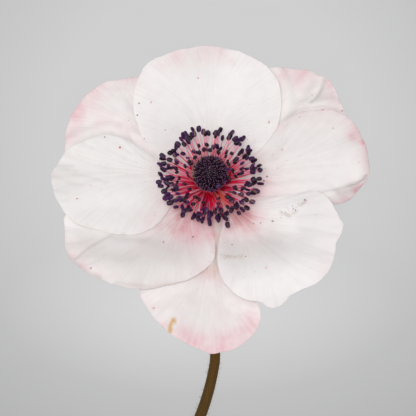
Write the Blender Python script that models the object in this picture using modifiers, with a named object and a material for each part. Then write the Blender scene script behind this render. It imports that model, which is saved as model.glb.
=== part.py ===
"""Cut anemone flower lying face up on a flat surface: eight petals in two whorls round a dark
pistil and a ring of stamens, on a curved stem that carries a ruff of divided leafy bracts.

Sizes below are in millimetres and turned into metres on the way into Blender. Three frames are used.
The row frame has +Z up and the surface at Z = 0. The face frame looks squarely into the flower: x to
the right, y up the face, z out of it, with its origin at the middle of the petals' feet. The centre
frame has the same origin, and its z runs along the axis of pistil and stamens.
"""

import math
import random

import bmesh
import bpy
import numpy as np
from mathutils import Matrix, Vector

MM = 0.001
TURN_STEPS = 24

# How the flower lies. The face leans back from level towards +Y, and the centre leans a little more.
HEAD_AT = Vector((0.07, 46.1, 15.51))
FACE_LEAN = math.radians(14)
CENTRE_LEAN = math.radians(16)
FACE = Matrix.Translation(HEAD_AT) @ Matrix.Rotation(-FACE_LEAN, 4, "X")
CENTRE = FACE @ Matrix.Rotation(-CENTRE_LEAN, 4, "X")

# Petals
PETAL_THICK = 0.6
FOOT_RADIUS = 2.8
FOOT_HALF_ANGLE = math.radians(22)
FRONT_FOOT = -0.3
REAR_FOOT = -1.2
CUP_RADIUS = 40.0
CUP_POWER = 1.6
ROLL_START = 0.86
BEND_SOFTNESS = 0.9
# A petal's columns spread sideways by this power of their way out, and a column as long as FULL_REACH
# takes the petal's whole lift and roll, which fade out along its sides towards the narrow base
SPREAD_POWER = 2.6
FULL_REACH = 26.0
PETAL_ROWS = 9
PETAL_COLUMNS = 18

# Where a petal passes behind another, it keeps TUCK_DEPTH below it and comes up beside it at a slope
TUCK_DEPTH = 1.1
TUCK_REACH = 0.9
TUCK_SLOPE = 0.3
TUCK_CURVE = 0.06
TUCK_SOFTNESS = 0.5
TUCK_FROM = 3.0
TUCK_FADE = 4.0

# Pistil and stamens, as heights along the centre frame's axis and radii round it
PISTIL_PROFILE = [(2.2, 2.7), (3.3, 3.7), (4.2, 5.2), (4.7, 7.0), (4.75, 8.6), (4.4, 10.2), (3.6, 11.6),
                  (2.4, 12.6), (1.1, 13.1)]
PISTIL_TOP = 13.3
STUD_HEIGHT = 0.35
STUD_COLUMNS = 28
DISC_PROFILE = [(0.0, 2.4), (2.6, 2.4), (4.0, 2.0), (4.5, 1.5), (4.3, 1.1), (2.2, 0.5), (0.0, 0.5)]
FILAMENT_RADIUS = 0.22
FILAMENT_POINTS = 4
ANTHER_SIZE = (0.75, 0.6, 1.0)
# Each whorl of stamens: how many, then radius and height at the root, at the bend and at the tip
STAMEN_WHORLS = [
    (22, (4.0, 1.0), (9.5, 5.0), (14.4, 5.6)),
    (18, (3.8, 1.3), (8.2, 5.0), (11.8, 6.8)),
    (14, (3.6, 1.5), (7.0, 4.6), (9.2, 7.4)),
    (10, (3.4, 1.7), (6.2, 3.8), (7.0, 8.4)),
]
STAMEN_JITTER = 0.8
STAMEN_SEED = 4

# Stem, from the receptacle under the petals down to the cut end
RECEPTACLE_PROFILE = [(0.0, 0.0), (1.8, 0.0), (1.9, -1.9), (2.6, -1.95), (3.2, -2.5), (2.7, -3.7),
                      (1.9, -5.0), (1.5, -6.4), (0.0, -6.4)]
NECK_START = -5.6
STEM_SIDES = 12
NECK_RADIUS = 1.6
BUTT_RADIUS = 2.25
NECK_POINTS = 9
# Where the stem lies, as distances from the head in x and y: straight, then in a slow curve to the left
STEM_ROUTE = [(1.5, -52.0), (0.9, -62.0), (-2.6, -75.0), (-8.6, -88.0), (-15.6, -102.0), (-21.0, -118.0),
              (-23.5, -128.0)]
ROUTE_STEP = 3.2
TAPER_FROM = -60.0

# Ruff of bracts
RUFF_AT = -97.0
COLLAR_LENGTH = 3.0
COLLAR_WALL = 1.0
GAP = 0.3
BLADE_THICK = 0.7
STALK_STATIONS = 3
SEGMENT_STATIONS = 4
LOBE_STALK = 8.0
LOBE_ANGLES = (-40, 0, 40)
TIP_ANGLES = (-22, 0, 22)
TIP_LENGTHS = (9.0, 12.0, 9.0)
SURFACE_CLEARANCE = 0.5

# Each petal: the petals that it passes behind, the bearing of its foot, which whorl it is in, how high it
# is cupped at CUP_RADIUS, how far its two sides lift, how far its margin rolls back, its rim and its
# folds. The rim runs from the foot on the anticlockwise side round the tip to the clockwise side, as
# (x, y) in the face frame. A fold is a ridge (height above 0) or a valley along a line from one point to
# another, with a half width. A bend is a line with the surface falling away to its right at a slope.
PETALS = {
    "petal_top": dict(
        under=[],
        foot=90, whorl="front", cup=7.9, sides=(0.9, 0.7), roll=0.9,
        rim=[(-11.9, 5.4), (-18.2, 11.1), (-21.9, 20.4), (-20.2, 30.0), (-12.6, 36.2), (-2.0, 38.6),
             (9.4, 36.6), (17.6, 30.1), (20.2, 21.6), (15.9, 12.8), (10.6, 7.1)],
        folds=[((-1, 16), (-2, 32), 8.0, -0.9)],
    ),
    "petal_upper_left": dict(
        under=["petal_top", "petal_left"],
        foot=140, whorl="rear", cup=2.9, sides=(-0.6, -0.2), roll=0.8,
        rim=[(-17.9, 1.2), (-32.7, 1.9), (-40.0, 5.6), (-41.2, 11.9), (-38.0, 21.3), (-30.4, 28.1),
             (-21.3, 29.9), (-14.2, 27.3), (-9.7, 19.9), (-5.7, 10.7)],
        folds=[((-12, 10), (-30, 20), 4.0, 1.2), ((-12, 14), (-24, 27), 3.0, -0.9)],
    ),
    "petal_left": dict(
        under=["petal_top"],
        foot=172, whorl="front", cup=7.6, sides=(0.9, 0.6), roll=1.2,
        rim=[(-11.6, -4.4), (-20.5, -9.9), (-30.5, -13.1), (-38.0, -11.4), (-42.3, -6.5), (-45.0, -1.0),
             (-44.4, 4.6), (-40.5, 9.6), (-35.6, 12.8), (-29.5, 13.6), (-22.7, 11.4), (-14.8, 6.2)],
        folds=[((-20, 3), (-40, 5), 3.0, -0.9), ((-20, -3), (-42, -4), 3.5, 0.7)],
    ),
    "petal_lower_left": dict(
        under=["petal_left"],
        foot=228, whorl="front", cup=6.6, sides=(0.3, -2.4), roll=2.6,
        rim=[(-0.3, -7.6), (0.9, -12.0), (1.4, -16.5), (-0.4, -21.8), (-5.4, -26.4), (-12.5, -29.7),
             (-20.4, -30.5), (-29.5, -27.6), (-36.9, -23.9), (-40.6, -18.6), (-40.9, -12.6), (-37.0, -8.8),
             (-28.5, -7.6), (-16.0, -6.6)],
        folds=[((-37, -20), (-28, -16), 1.8, -1.1), ((-28, -16), (-12, -18), 3.0, -2.6),
               ((-32, -24), (-7, -23), 4.2, 2.2)],
    ),
    "petal_bottom": dict(
        under=["petal_lower_left", "petal_lower_right"],
        foot=270, whorl="rear", cup=3.6, sides=(-0.8, -0.8), roll=0.9,
        rim=[(3.6, -9.4), (9.2, -20.7), (13.3, -30.7), (14.3, -37.5), (11.4, -44.3), (4.7, -47.9),
             (-1.3, -48.6), (-8.5, -44.9), (-15.4, -39.0), (-19.6, -31.5), (-16.6, -22.7), (-9.4, -13.6),
             (-4.8, -9.2)],
        folds=[((0, -20), (-1, -44), 5.0, -1.2)],
    ),
    "petal_lower_right": dict(
        under=[],
        foot=308, whorl="front", cup=7.4, sides=(1.0, 0.5), roll=0.7,
        rim=[(7.4, -3.0), (14.2, -4.5), (22.7, -3.7), (30.1, -2.6), (34.6, -4.9), (36.9, -10.2),
             (36.1, -17.9), (32.9, -25.0), (27.2, -30.0), (22.4, -32.2), (19.6, -35.0), (16.3, -34.6),
             (13.0, -32.8), (7.6, -29.7), (3.6, -23.9), (2.1, -17.3), (2.3, -12.5), (1.4, -8.0)],
        folds=[((9, -16.5), (26, -18), 4.6, -2.2), ((11, -27), (29, -25), 5.0, 1.3)],
    ),
    "petal_right": dict(
        under=["petal_top", "petal_lower_right"],
        foot=12, whorl="front", cup=6.4, sides=(0.6, -2.2), roll=1.4,
        rim=[(8.6, 5.2), (14.7, 10.3), (20.3, 17.6), (26.4, 20.4), (34.1, 20.4), (39.9, 16.4),
             (43.6, 9.9), (44.9, 2.6), (43.2, -2.6), (38.3, -5.8), (31.4, -6.8), (21.3, -7.6), (11.6, -4.2)],
        folds=[((20, 6), (38, 8), 6.0, 1.2)],
        bend=((30, -3.6), (46, 3.6), 0.75),
    ),
    "petal_upper_right": dict(
        under=["petal_top", "petal_right"],
        foot=50, whorl="rear", cup=4.37, sides=(-0.6, -0.4), roll=0.7,
        rim=[(2.9, 7.4), (5.7, 18.2), (9.1, 27.3), (14.8, 32.4), (22.7, 32.8), (29.2, 31.2), (33.2, 28.0),
             (36.2, 23.0), (37.8, 18.3), (35.6, 14.2), (27.0, 10.1), (13.8, 5.9)],
        folds=[((22.5, 18.5), (31.5, 28), 2.2, -2.4), ((18, 21), (26.5, 30), 3.2, 1.0)],
    ),
}

# Each bract: the direction its blade sets out in, the direction across the blade, and how it arches, in
# the collar's own frame: x to the stem's left, y up, z towards the head
BRACTS = [
    (Vector((0.91, -0.03, 0.41)), Vector((-0.41, 0, 0.91)), Vector((0, 0.20, 0))),
    (Vector((-0.91, -0.03, 0.41)), Vector((0.41, 0, 0.91)), Vector((0, 0.24, 0))),
    (Vector((0.10, 0.92, 0.38)), Vector((0.99, -0.10, 0)), Vector((0, -0.30, 0.22))),
]

# Colours from the photograph: red, green, blue, roughness
COLOURS = {
    "petal": ((0.86, 0.78, 0.78), 0.6),
    "pistil": ((0.020, 0.014, 0.030), 0.7),
    "filament": ((0.42, 0.03, 0.07), 0.6),
    "anther": ((0.022, 0.016, 0.045), 0.7),
    "stem": ((0.11, 0.075, 0.03), 0.55),
    "ruff": ((0.10, 0.16, 0.04), 0.6),
}


def clear_scene():
    for obj in list(bpy.data.objects):
        bpy.data.objects.remove(obj)


def make_collection(name):
    collection = bpy.data.collections.new(name)
    bpy.context.scene.collection.children.link(collection)
    return collection


def make_material(name):
    colour, roughness = COLOURS[name]
    material = bpy.data.materials.new(name)
    material.use_nodes = True
    shader = material.node_tree.nodes["Principled BSDF"]
    shader.inputs["Base Color"].default_value = (*colour, 1)
    shader.inputs["Roughness"].default_value = roughness
    shader.inputs["Metallic"].default_value = 0
    return material


def add_object(name, mesh, collection, material=None, parent=None):
    obj = bpy.data.objects.new(name, mesh)
    collection.objects.link(obj)
    obj.parent = parent
    if material:
        mesh.materials.clear()
        mesh.materials.append(material)
    mesh.shade_smooth()
    return obj


def mesh_from_bmesh(name, bm):
    bmesh.ops.recalc_face_normals(bm, faces=bm.faces)
    mesh = bpy.data.meshes.new(name)
    bm.to_mesh(mesh)
    bm.free()
    return mesh


def metres(point):
    return Vector(point) * MM


def spline_through(points, per_span):
    """Points of a Catmull-Rom curve through the given ones, per_span of them to each stretch."""
    points = [np.array(p, float) for p in points]
    ends = [2 * points[0] - points[1], *points, 2 * points[-1] - points[-2]]
    made = []
    for a, b, c, d in zip(ends, ends[1:], ends[2:], ends[3:]):
        for t in np.arange(per_span) / per_span:
            made.append(0.5 * (2 * b + (c - a) * t + (2 * a - 5 * b + 4 * c - d) * t**2
                               + (3 * b - a - 3 * c + d) * t**3))
    return np.array([*made, points[-1]])


def evenly_along(curve, count):
    """count points at even distances along a polyline."""
    steps = np.linalg.norm(np.diff(curve, axis=0), axis=1)
    run = np.concatenate([[0], np.cumsum(steps)])
    wanted = np.linspace(0, run[-1], count)
    return np.stack([np.interp(wanted, run, curve[:, axis]) for axis in range(curve.shape[1])], axis=1)


def fold_height(x, y, start, end, half_width, height):
    """A ridge or valley with a bell-shaped section along the line from start to end."""
    start = np.array(start, float)
    line = np.array(end, float) - start
    along = np.clip(((x - start[0]) * line[0] + (y - start[1]) * line[1]) / (line @ line), 0, 1)
    away = np.hypot(x - start[0] - along * line[0], y - start[1] - along * line[1])
    return height * np.exp(-((away / half_width) ** 2))


def bend_height(x, y, start, end, slope):
    """A surface that falls away at a slope on the right-hand side of the line from start to end."""
    line = np.array(end, float) - np.array(start, float)
    past = ((x - start[0]) * line[1] - (y - start[1]) * line[0]) / np.linalg.norm(line)
    return -slope * BEND_SOFTNESS * np.log1p(np.exp(np.clip(past / BEND_SOFTNESS, -30, 30)))


def petal_grid(petal, rows, columns):
    """Points of a petal's middle surface in the face frame.

    A column is a vein from foot to rim. It sets out along the petal and spreads sideways by a power of
    its way out, as the veins of a real petal do.
    """
    rim = evenly_along(spline_through(petal["rim"], 12), columns + 1)
    across = np.linspace(-1, 1, columns + 1)
    axis = math.radians(petal["foot"])
    bearing = axis - across * FOOT_HALF_ANGLE
    foot = FOOT_RADIUS * np.stack([np.cos(bearing), np.sin(bearing)], axis=1)
    along = np.array([math.cos(axis), math.sin(axis)])
    sideways = np.array([-along[1], along[0]])
    length = (rim - foot) @ along
    spread = (rim - foot) @ sideways
    out = np.linspace(0, 1, rows + 1)[:, None]
    x = foot[:, 0] + out * length * along[0] + out**SPREAD_POWER * spread * sideways[0]
    y = foot[:, 1] + out * length * along[1] + out**SPREAD_POWER * spread * sideways[1]
    reach = np.clip(np.hypot(length, spread) / FULL_REACH, 0, 1)
    height = petal_height(petal, x, y, out, across, reach)
    for other in petal["under"]:
        over = petal_grid(PETALS[other], 3 * PETAL_ROWS, 3 * PETAL_COLUMNS)
        height = tucked_under(x, y, height, over.reshape(-1, 3))
    return np.stack([x, y, height], axis=-1)


def tucked_under(x, y, height, over):
    """The height where it passes below the points of a petal in front, and what it needs beside them."""
    ceiling = np.full(height.shape, np.inf)
    for px, py, pz in over:
        beside = np.clip(np.hypot(x - px, y - py) - TUCK_REACH, 0, None)
        ceiling = np.minimum(ceiling, pz - TUCK_DEPTH + TUCK_SLOPE * beside + TUCK_CURVE * beside**2)
    lowered = (height + ceiling - np.hypot(height - ceiling, TUCK_SOFTNESS)) / 2
    share = np.clip((np.hypot(x, y) - TUCK_FROM) / TUCK_FADE, 0, 1)
    return height + share * (lowered - height)


def petal_height(petal, x, y, out, across, reach):
    """Height of the petal above the face plane at (x, y), which is out of the way from foot to rim.

    reach is 1 where the rim is far from the foot, and less towards the petal's narrow base.
    """
    layer = FRONT_FOOT if petal["whorl"] == "front" else REAR_FOOT
    height = layer - y * math.tan(CENTRE_LEAN)
    height = height + petal["cup"] * (np.hypot(x, y) / CUP_RADIUS) ** CUP_POWER
    left_side, right_side = petal["sides"]
    side = np.where(across < 0, left_side, right_side) * np.abs(across) ** 3
    height = height + side * reach * out**0.8
    grown = np.clip(out * 2.2, 0, 1) ** 2
    for start, end, half_width, amount in petal["folds"]:
        height = height + grown * fold_height(x, y, start, end, half_width, amount)
    if "bend" in petal:
        height = height + bend_height(x, y, *petal["bend"])
    rolled = np.clip((out - ROLL_START) / (1 - ROLL_START), 0, 1)
    return height - petal["roll"] * reach**2 * rolled**2


def make_petal(name, petal, collection, material, parent):
    """A petal as a thin blade: its middle surface, split into triangles, and half its thickness each way."""
    grid = petal_grid(petal, PETAL_ROWS, PETAL_COLUMNS)
    bm = bmesh.new()
    verts = [[bm.verts.new(metres(point)) for point in row] for row in grid]
    for row, next_row in zip(verts, verts[1:]):
        for a, b, c, d in zip(row, row[1:], next_row[1:], next_row):
            bm.faces.new((a, c, b))
            bm.faces.new((a, d, c))
    mesh = bpy.data.meshes.new(name)
    bm.to_mesh(mesh)
    bm.free()
    obj = add_object(name, mesh, collection, material, parent)
    blade = obj.modifiers.new("thickness", "SOLIDIFY")
    blade.thickness = PETAL_THICK * MM
    blade.offset = 0


def evaluated_mesh(obj):
    """The object's mesh with its modifiers or bevel applied, and the object removed."""
    graph = bpy.context.evaluated_depsgraph_get()
    mesh = bpy.data.meshes.new_from_object(obj.evaluated_get(graph))
    bpy.data.objects.remove(obj)
    return mesh


def turned_mesh(name, profile, closed=False):
    """A solid turned round z from a profile of (radius, height), which ends on the axis or is closed."""
    bm = bmesh.new()
    points = [bm.verts.new(metres((radius, 0, height))) for radius, height in profile]
    ends = zip(points, points[1:] + points[:1]) if closed else zip(points, points[1:])
    for pair in ends:
        bm.edges.new(pair)
    outline = bpy.data.meshes.new(name)
    bm.to_mesh(outline)
    bm.free()
    guide = bpy.data.objects.new(name, outline)
    bpy.context.scene.collection.objects.link(guide)
    screw = guide.modifiers.new("turn", "SCREW")
    screw.steps = screw.render_steps = TURN_STEPS
    screw.use_merge_vertices = True
    screw.merge_threshold = MM / 100
    turned = bmesh.new()
    turned.from_mesh(evaluated_mesh(guide))
    return mesh_from_bmesh(name, turned)


def make_pistil(collection, material, parent):
    """The pistil's head, with its carpels as studs where ring and column add up to an even number."""
    bm = bmesh.new()
    rings = []
    for ring, (radius, height) in enumerate(spline_through(PISTIL_PROFILE, 2)):
        around = np.arange(STUD_COLUMNS) * math.tau / STUD_COLUMNS
        raised = STUD_HEIGHT * ((np.arange(STUD_COLUMNS) + ring) % 2) * (ring > 1)
        outline = zip((radius + raised) * np.cos(around), (radius + raised) * np.sin(around))
        rings.append([bm.verts.new(metres((x, y, height))) for x, y in outline])
    for lower, upper in zip(rings, rings[1:]):
        for column in range(STUD_COLUMNS):
            after = (column + 1) % STUD_COLUMNS
            bm.faces.new((lower[column], lower[after], upper[after], upper[column]))
    bm.faces.new(rings[0])
    crown = bm.verts.new(metres((0, 0, PISTIL_TOP)))
    for column in range(STUD_COLUMNS):
        bm.faces.new((rings[-1][column], rings[-1][(column + 1) % STUD_COLUMNS], crown))
    add_object("pistil", mesh_from_bmesh("pistil", bm), collection, material, parent)


def tube_mesh(name, points, radii, sides, tilt=0.0):
    """A round bar along the points, from a bevelled curve with its caps welded on."""
    curve = bpy.data.curves.new(name, "CURVE")
    curve.dimensions = "3D"
    curve.bevel_depth = MM
    curve.bevel_resolution = (sides - 4) // 2
    curve.use_fill_caps = True
    curve.twist_mode = "Z_UP"
    spline = curve.splines.new("POLY")
    spline.points.add(len(points) - 1)
    for slot, point, radius in zip(spline.points, points, radii):
        slot.co = (*metres(point), 1)
        slot.radius = radius
        slot.tilt = tilt
    guide = bpy.data.objects.new(name, curve)
    bpy.context.scene.collection.objects.link(guide)
    bm = bmesh.new()
    bm.from_mesh(evaluated_mesh(guide))
    bmesh.ops.remove_doubles(bm, verts=bm.verts, dist=MM / 1000)
    return mesh_from_bmesh(name, bm)


def keep_outer_shell(mesh):
    """Leaves only the largest shell, which fills hollows that the union sealed and drops loose scraps."""
    bm = bmesh.new()
    bm.from_mesh(mesh)
    left = set(bm.verts)
    shells = []
    while left:
        shell, edge = set(), {left.pop()}
        while edge:
            shell |= edge
            edge = {e.other_vert(v) for v in edge for e in v.link_edges} - shell
        left -= shell
        shells.append(shell)
    shells.sort(key=len)
    for shell in shells[:-1]:
        bmesh.ops.delete(bm, geom=list(shell), context="VERTS")
    bm.to_mesh(mesh)
    bm.free()


def fuse(obj, repeats):
    """Joins every object of the collection to obj with one applied union, and removes them."""
    union = obj.modifiers.new("union", "BOOLEAN")
    union.operation = "UNION"
    union.solver = "MANIFOLD"
    union.material_mode = "TRANSFER"
    union.operand_type = "COLLECTION"
    union.collection = repeats
    bpy.context.view_layer.update()
    graph = bpy.context.evaluated_depsgraph_get()
    mesh = bpy.data.meshes.new_from_object(obj.evaluated_get(graph))
    obj.modifiers.clear()
    obj.data = mesh
    keep_outer_shell(mesh)
    mesh.shade_smooth()
    for repeat in list(repeats.objects):
        bpy.data.objects.remove(repeat)
    bpy.data.collections.remove(repeats)


def bezier(start, middle, end, count):
    t = np.linspace(0, 1, count)[:, None]
    start, middle, end = (np.array(p, float) for p in (start, middle, end))
    return (1 - t) ** 2 * start + 2 * t * (1 - t) * middle + t**2 * end


def anther_mesh(name, at, direction, turn):
    """An anther, longest along its filament's direction."""
    bm = bmesh.new()
    bmesh.ops.create_icosphere(bm, subdivisions=1, radius=MM)
    shape = Matrix.Diagonal((*ANTHER_SIZE, 1))
    aim = Vector(direction).to_track_quat("Z", "X").to_matrix().to_4x4()
    bm.transform(Matrix.Translation(metres(at)) @ aim @ Matrix.Rotation(turn, 4, "Z") @ shape)
    return mesh_from_bmesh(name, bm)


def make_stamens(collection, filament_material, anther_material, parent):
    """The disc that the stamens grow from, with every filament and anther fused to it."""
    draw = random.Random(STAMEN_SEED)
    disc = add_object("stamens", turned_mesh("stamens", DISC_PROFILE), collection, filament_material,
                      parent)
    repeats = make_collection("stamen repeats")
    for whorl, (count, root, elbow, tip) in enumerate(STAMEN_WHORLS):
        for number in range(count):
            bearing = (number + 0.37 * whorl) * math.tau / count + draw.uniform(-0.4, 0.4) / count
            reach = draw.uniform(-STAMEN_JITTER, STAMEN_JITTER)
            lift = draw.uniform(-STAMEN_JITTER, STAMEN_JITTER)
            path = bezier(root, elbow, (tip[0] + reach, tip[1] + lift), FILAMENT_POINTS)
            points = [(r * math.cos(bearing), r * math.sin(bearing), z) for r, z in path]
            heading = Vector(points[-1]) - Vector(points[-2])
            heading.normalize()
            filament = tube_mesh("filament", points, [FILAMENT_RADIUS] * len(points), 4)
            add_object("filament", filament, repeats, filament_material, parent)
            anther = anther_mesh("anther", Vector(points[-1]) + 0.35 * heading, heading,
                                 draw.uniform(0, math.pi))
            add_object("anther", anther, repeats, anther_material, parent)
    fuse(disc, repeats)


def neck_points():
    """The neck's arc in the row frame, from the receptacle down to where the stem first lies flat."""
    start = CENTRE @ Vector((0, 0, NECK_START))
    turn = math.pi / 2 - FACE_LEAN - CENTRE_LEAN
    lying = NECK_RADIUS * math.cos(math.pi / STEM_SIDES)
    bend = (start.z - lying) / (1 - math.cos(turn))
    points = []
    for angle in np.linspace(turn, 0, NECK_POINTS):
        points.append((start.x, start.y - bend * (math.sin(turn) - math.sin(angle)),
                       lying + bend * (1 - math.cos(angle))))
    return points


def lying_points(first):
    """The lying stem in the row frame, with its radius at each point growing towards the cut end."""
    route = [(first[0], first[1])]
    route += [(HEAD_AT.x + x, HEAD_AT.y + y) for x, y in STEM_ROUTE]
    curve = spline_through(route, 12)
    length = np.linalg.norm(np.diff(curve, axis=0), axis=1).sum()
    even = evenly_along(curve, round(length / ROUTE_STEP))
    end = HEAD_AT.y + STEM_ROUTE[-1][1]
    taper_from = HEAD_AT.y + TAPER_FROM
    radii = np.interp(even[:, 1], [end, taper_from], [BUTT_RADIUS, NECK_RADIUS])
    flat = math.cos(math.pi / STEM_SIDES)
    return [(x, y, radius * flat) for (x, y), radius in zip(even, radii)], list(radii)


def make_stem(collection, material):
    """Receptacle, neck and lying stem as one piece, resting on the flat along its underside."""
    neck = neck_points()
    lying, radii = lying_points(neck[-1])
    points = neck[:-1] + lying
    radii = [NECK_RADIUS] * (len(neck) - 1) + radii
    tube = tube_mesh("stem", points, radii, STEM_SIDES, math.pi / STEM_SIDES)
    stem = add_object("stem", tube, collection, material)
    repeats = make_collection("stem parts")
    receptacle = add_object("receptacle", turned_mesh("receptacle", RECEPTACLE_PROFILE), repeats)
    receptacle.matrix_world = in_metres(CENTRE)
    fuse(stem, repeats)
    return lying, radii[-len(lying):]


def in_metres(matrix):
    scaled = matrix.copy()
    scaled.translation = scaled.translation * MM
    return scaled


def blade_mesh(name, base, along, across, arch, length, width, start_width, stations):
    """A pointed leaf segment along a line that arches, lowest at the surface's clearance."""
    normal = along.cross(across).normalized()
    bm = bmesh.new()
    rings = []
    for share in np.linspace(0, 1, stations):
        point = base + along * (length * share) + arch * (length * share**2)
        point.z = max(point.z, BLADE_THICK / 2 + SURFACE_CLEARANCE)
        spread = width * math.sin(math.pi * min(1, 0.25 + 0.72 * share)) + start_width * (1 - share)
        half = across * (spread / 2)
        thick = normal * (BLADE_THICK / 2)
        rings.append([bm.verts.new(metres(point + corner))
                      for corner in (half + thick, -half + thick, -half - thick, half - thick)])
    for lower, upper in zip(rings, rings[1:]):
        for side in range(4):
            after = (side + 1) % 4
            bm.faces.new((lower[side], upper[side], upper[after]))
            bm.faces.new((lower[side], upper[after], lower[after]))
    bm.faces.new(rings[0])
    bm.faces.new(rings[-1])
    bmesh.ops.triangulate(bm, faces=bm.faces)
    return mesh_from_bmesh(name, bm)


def add_bract(base, along, across, arch, repeats):
    """One bract: three lobes on short stalks, each cut into three pointed segments."""
    along = along.normalized()
    across = across.normalized()
    for lobe in LOBE_ANGLES:
        turn = math.radians(lobe)
        lobe_along = along * math.cos(turn) + across * math.sin(turn)
        lobe_across = across * math.cos(turn) - along * math.sin(turn)
        stalk = blade_mesh("stalk", base, lobe_along, lobe_across, arch, LOBE_STALK + 1, 1.3, 1.0,
                           STALK_STATIONS)
        add_object("stalk", stalk, repeats)
        fork = base + lobe_along * LOBE_STALK + arch * LOBE_STALK
        for tip, length in zip(TIP_ANGLES, TIP_LENGTHS):
            swing = math.radians(tip)
            tip_along = (lobe_along * math.cos(swing) + lobe_across * math.sin(swing) + arch).normalized()
            tip_across = lobe_across * math.cos(swing) - lobe_along * math.sin(swing)
            segment = blade_mesh("segment", fork - tip_along, tip_along, tip_across, arch, length, 2.2, 0.6,
                                 SEGMENT_STATIONS)
            add_object("segment", segment, repeats)


def make_ruff(lying, radii, collection, material):
    """The ruff: a collar that goes round the stem with a small gap, and three bracts grown from it."""
    heights = [point[1] for point in lying]
    place = min(range(len(lying)), key=lambda i: abs(heights[i] - HEAD_AT.y - RUFF_AT))
    here, after = Vector(lying[place]), Vector(lying[place - 1])
    towards_head = (after - here).normalized()
    inner = radii[place] + GAP
    outer = inner + COLLAR_WALL
    half = COLLAR_LENGTH / 2
    section = [(inner, half), (outer - 0.4, half), (outer, half - 0.8), (outer - 0.2, -half), (inner, -half)]
    ring = turned_mesh("ruff", section, closed=True)
    aim = towards_head.to_track_quat("Z", "Y").to_matrix()
    ring.transform(in_metres(Matrix.Translation(here) @ aim.to_4x4()))
    collar = add_object("ruff", ring, collection, material)
    cut_below(collar, SURFACE_CLEARANCE)
    repeats = make_collection("bract blades")
    for along, across, arch in BRACTS:
        outward = aim @ Vector((along.x, along.y, 0)).normalized()
        base = here + outward * (inner + 0.8 * COLLAR_WALL)
        add_bract(base, aim @ along, aim @ across, aim @ arch, repeats)
    fuse(collar, repeats)


def cut_below(obj, level):
    """Cuts off what is below a level, which leaves the collar open where the stem rests on the surface."""
    bm = bmesh.new()
    bm.from_mesh(obj.data)
    cut = bmesh.ops.bisect_plane(bm, geom=[*bm.verts, *bm.edges, *bm.faces], plane_co=(0, 0, level * MM),
                                 plane_no=(0, 0, -1), clear_outer=True)
    edges = [piece for piece in cut["geom_cut"] if isinstance(piece, bmesh.types.BMEdge)]
    bmesh.ops.triangle_fill(bm, edges=edges, use_beauty=True)
    bmesh.ops.recalc_face_normals(bm, faces=bm.faces)
    bm.to_mesh(obj.data)
    bm.free()


def add_empty(name, matrix, collection):
    empty = bpy.data.objects.new(name, None)
    collection.objects.link(empty)
    empty.matrix_world = in_metres(matrix)
    return empty


def main():
    clear_scene()
    collection = make_collection("anemone flower")
    materials = {name: make_material(name) for name in COLOURS}
    face = add_empty("face", FACE, collection)
    centre = add_empty("centre", CENTRE, collection)
    bpy.context.view_layer.update()
    for name, petal in PETALS.items():
        make_petal(name, petal, collection, materials["petal"], face)
    make_pistil(collection, materials["pistil"], centre)
    make_stamens(collection, materials["filament"], materials["anther"], centre)
    lying, radii = make_stem(collection, materials["stem"])
    make_ruff(lying, radii, collection, materials["ruff"])


main()
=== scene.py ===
"""Dressed cut anemone: fine petals, stamens, pistil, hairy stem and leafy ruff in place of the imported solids.

Sizes are in millimetres and become metres on the way into Blender. Two frames besides the row's own
are used. The face frame looks squarely into the flower, with x to the right, y up the face and z out
of it, and its origin in the middle of the petals' feet. The centre frame shares that origin, and its
z is the axis of pistil and stamens.
"""

import functools
import math
import random

import bpy
import numpy as np
from mathutils import Matrix, Vector, noise
from mathutils.bvhtree import BVHTree


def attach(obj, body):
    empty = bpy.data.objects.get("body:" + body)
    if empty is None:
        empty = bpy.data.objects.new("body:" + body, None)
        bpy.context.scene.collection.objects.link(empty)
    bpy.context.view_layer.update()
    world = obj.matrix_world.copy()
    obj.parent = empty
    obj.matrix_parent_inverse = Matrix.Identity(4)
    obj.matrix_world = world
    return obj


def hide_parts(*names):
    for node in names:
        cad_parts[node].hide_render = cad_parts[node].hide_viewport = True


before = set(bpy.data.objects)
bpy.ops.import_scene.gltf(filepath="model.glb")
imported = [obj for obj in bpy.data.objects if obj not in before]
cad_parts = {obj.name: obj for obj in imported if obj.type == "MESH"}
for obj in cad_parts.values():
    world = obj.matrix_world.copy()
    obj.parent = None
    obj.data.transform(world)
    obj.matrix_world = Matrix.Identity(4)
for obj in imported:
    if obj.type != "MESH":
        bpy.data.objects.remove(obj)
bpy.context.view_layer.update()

MM = 0.001
TURNED_SIDES = 48
GOLDEN_ANGLE = math.pi * (3 - math.sqrt(5))

# How the flower lies, as in the solids
HEAD_AT = Vector((0.07, 46.1, 15.51))
FACE_LEAN = math.radians(14)
CENTRE_LEAN = math.radians(16)
FACE = Matrix.Translation(HEAD_AT) @ Matrix.Rotation(-FACE_LEAN, 4, "X")
CENTRE = FACE @ Matrix.Rotation(-CENTRE_LEAN, 4, "X")

# Petals: the form of the solids
FOOT_RADIUS = 2.8
FOOT_HALF_ANGLE = math.radians(29)
FRONT_FOOT = -0.3
REAR_FOOT = -1.2
CUP_RADIUS = 40.0
CUP_POWER = 1.6
ROLL_START = 0.86
BEND_SOFTNESS = 0.6
SPREAD_POWER = 2.6
FULL_REACH = 26.0
TUCK_DEPTH = 0.37
TUCK_REACH = 0.8
TUCK_SLOPE = 0.3
TUCK_CURVE = 0.06
TUCK_SOFTNESS = 0.22
TUCK_FROM = 3.0
TUCK_FADE = 4.0
REST_REACH = 2.0
REST_SHARE = 0.75
REST_MOST = 1.5

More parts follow.
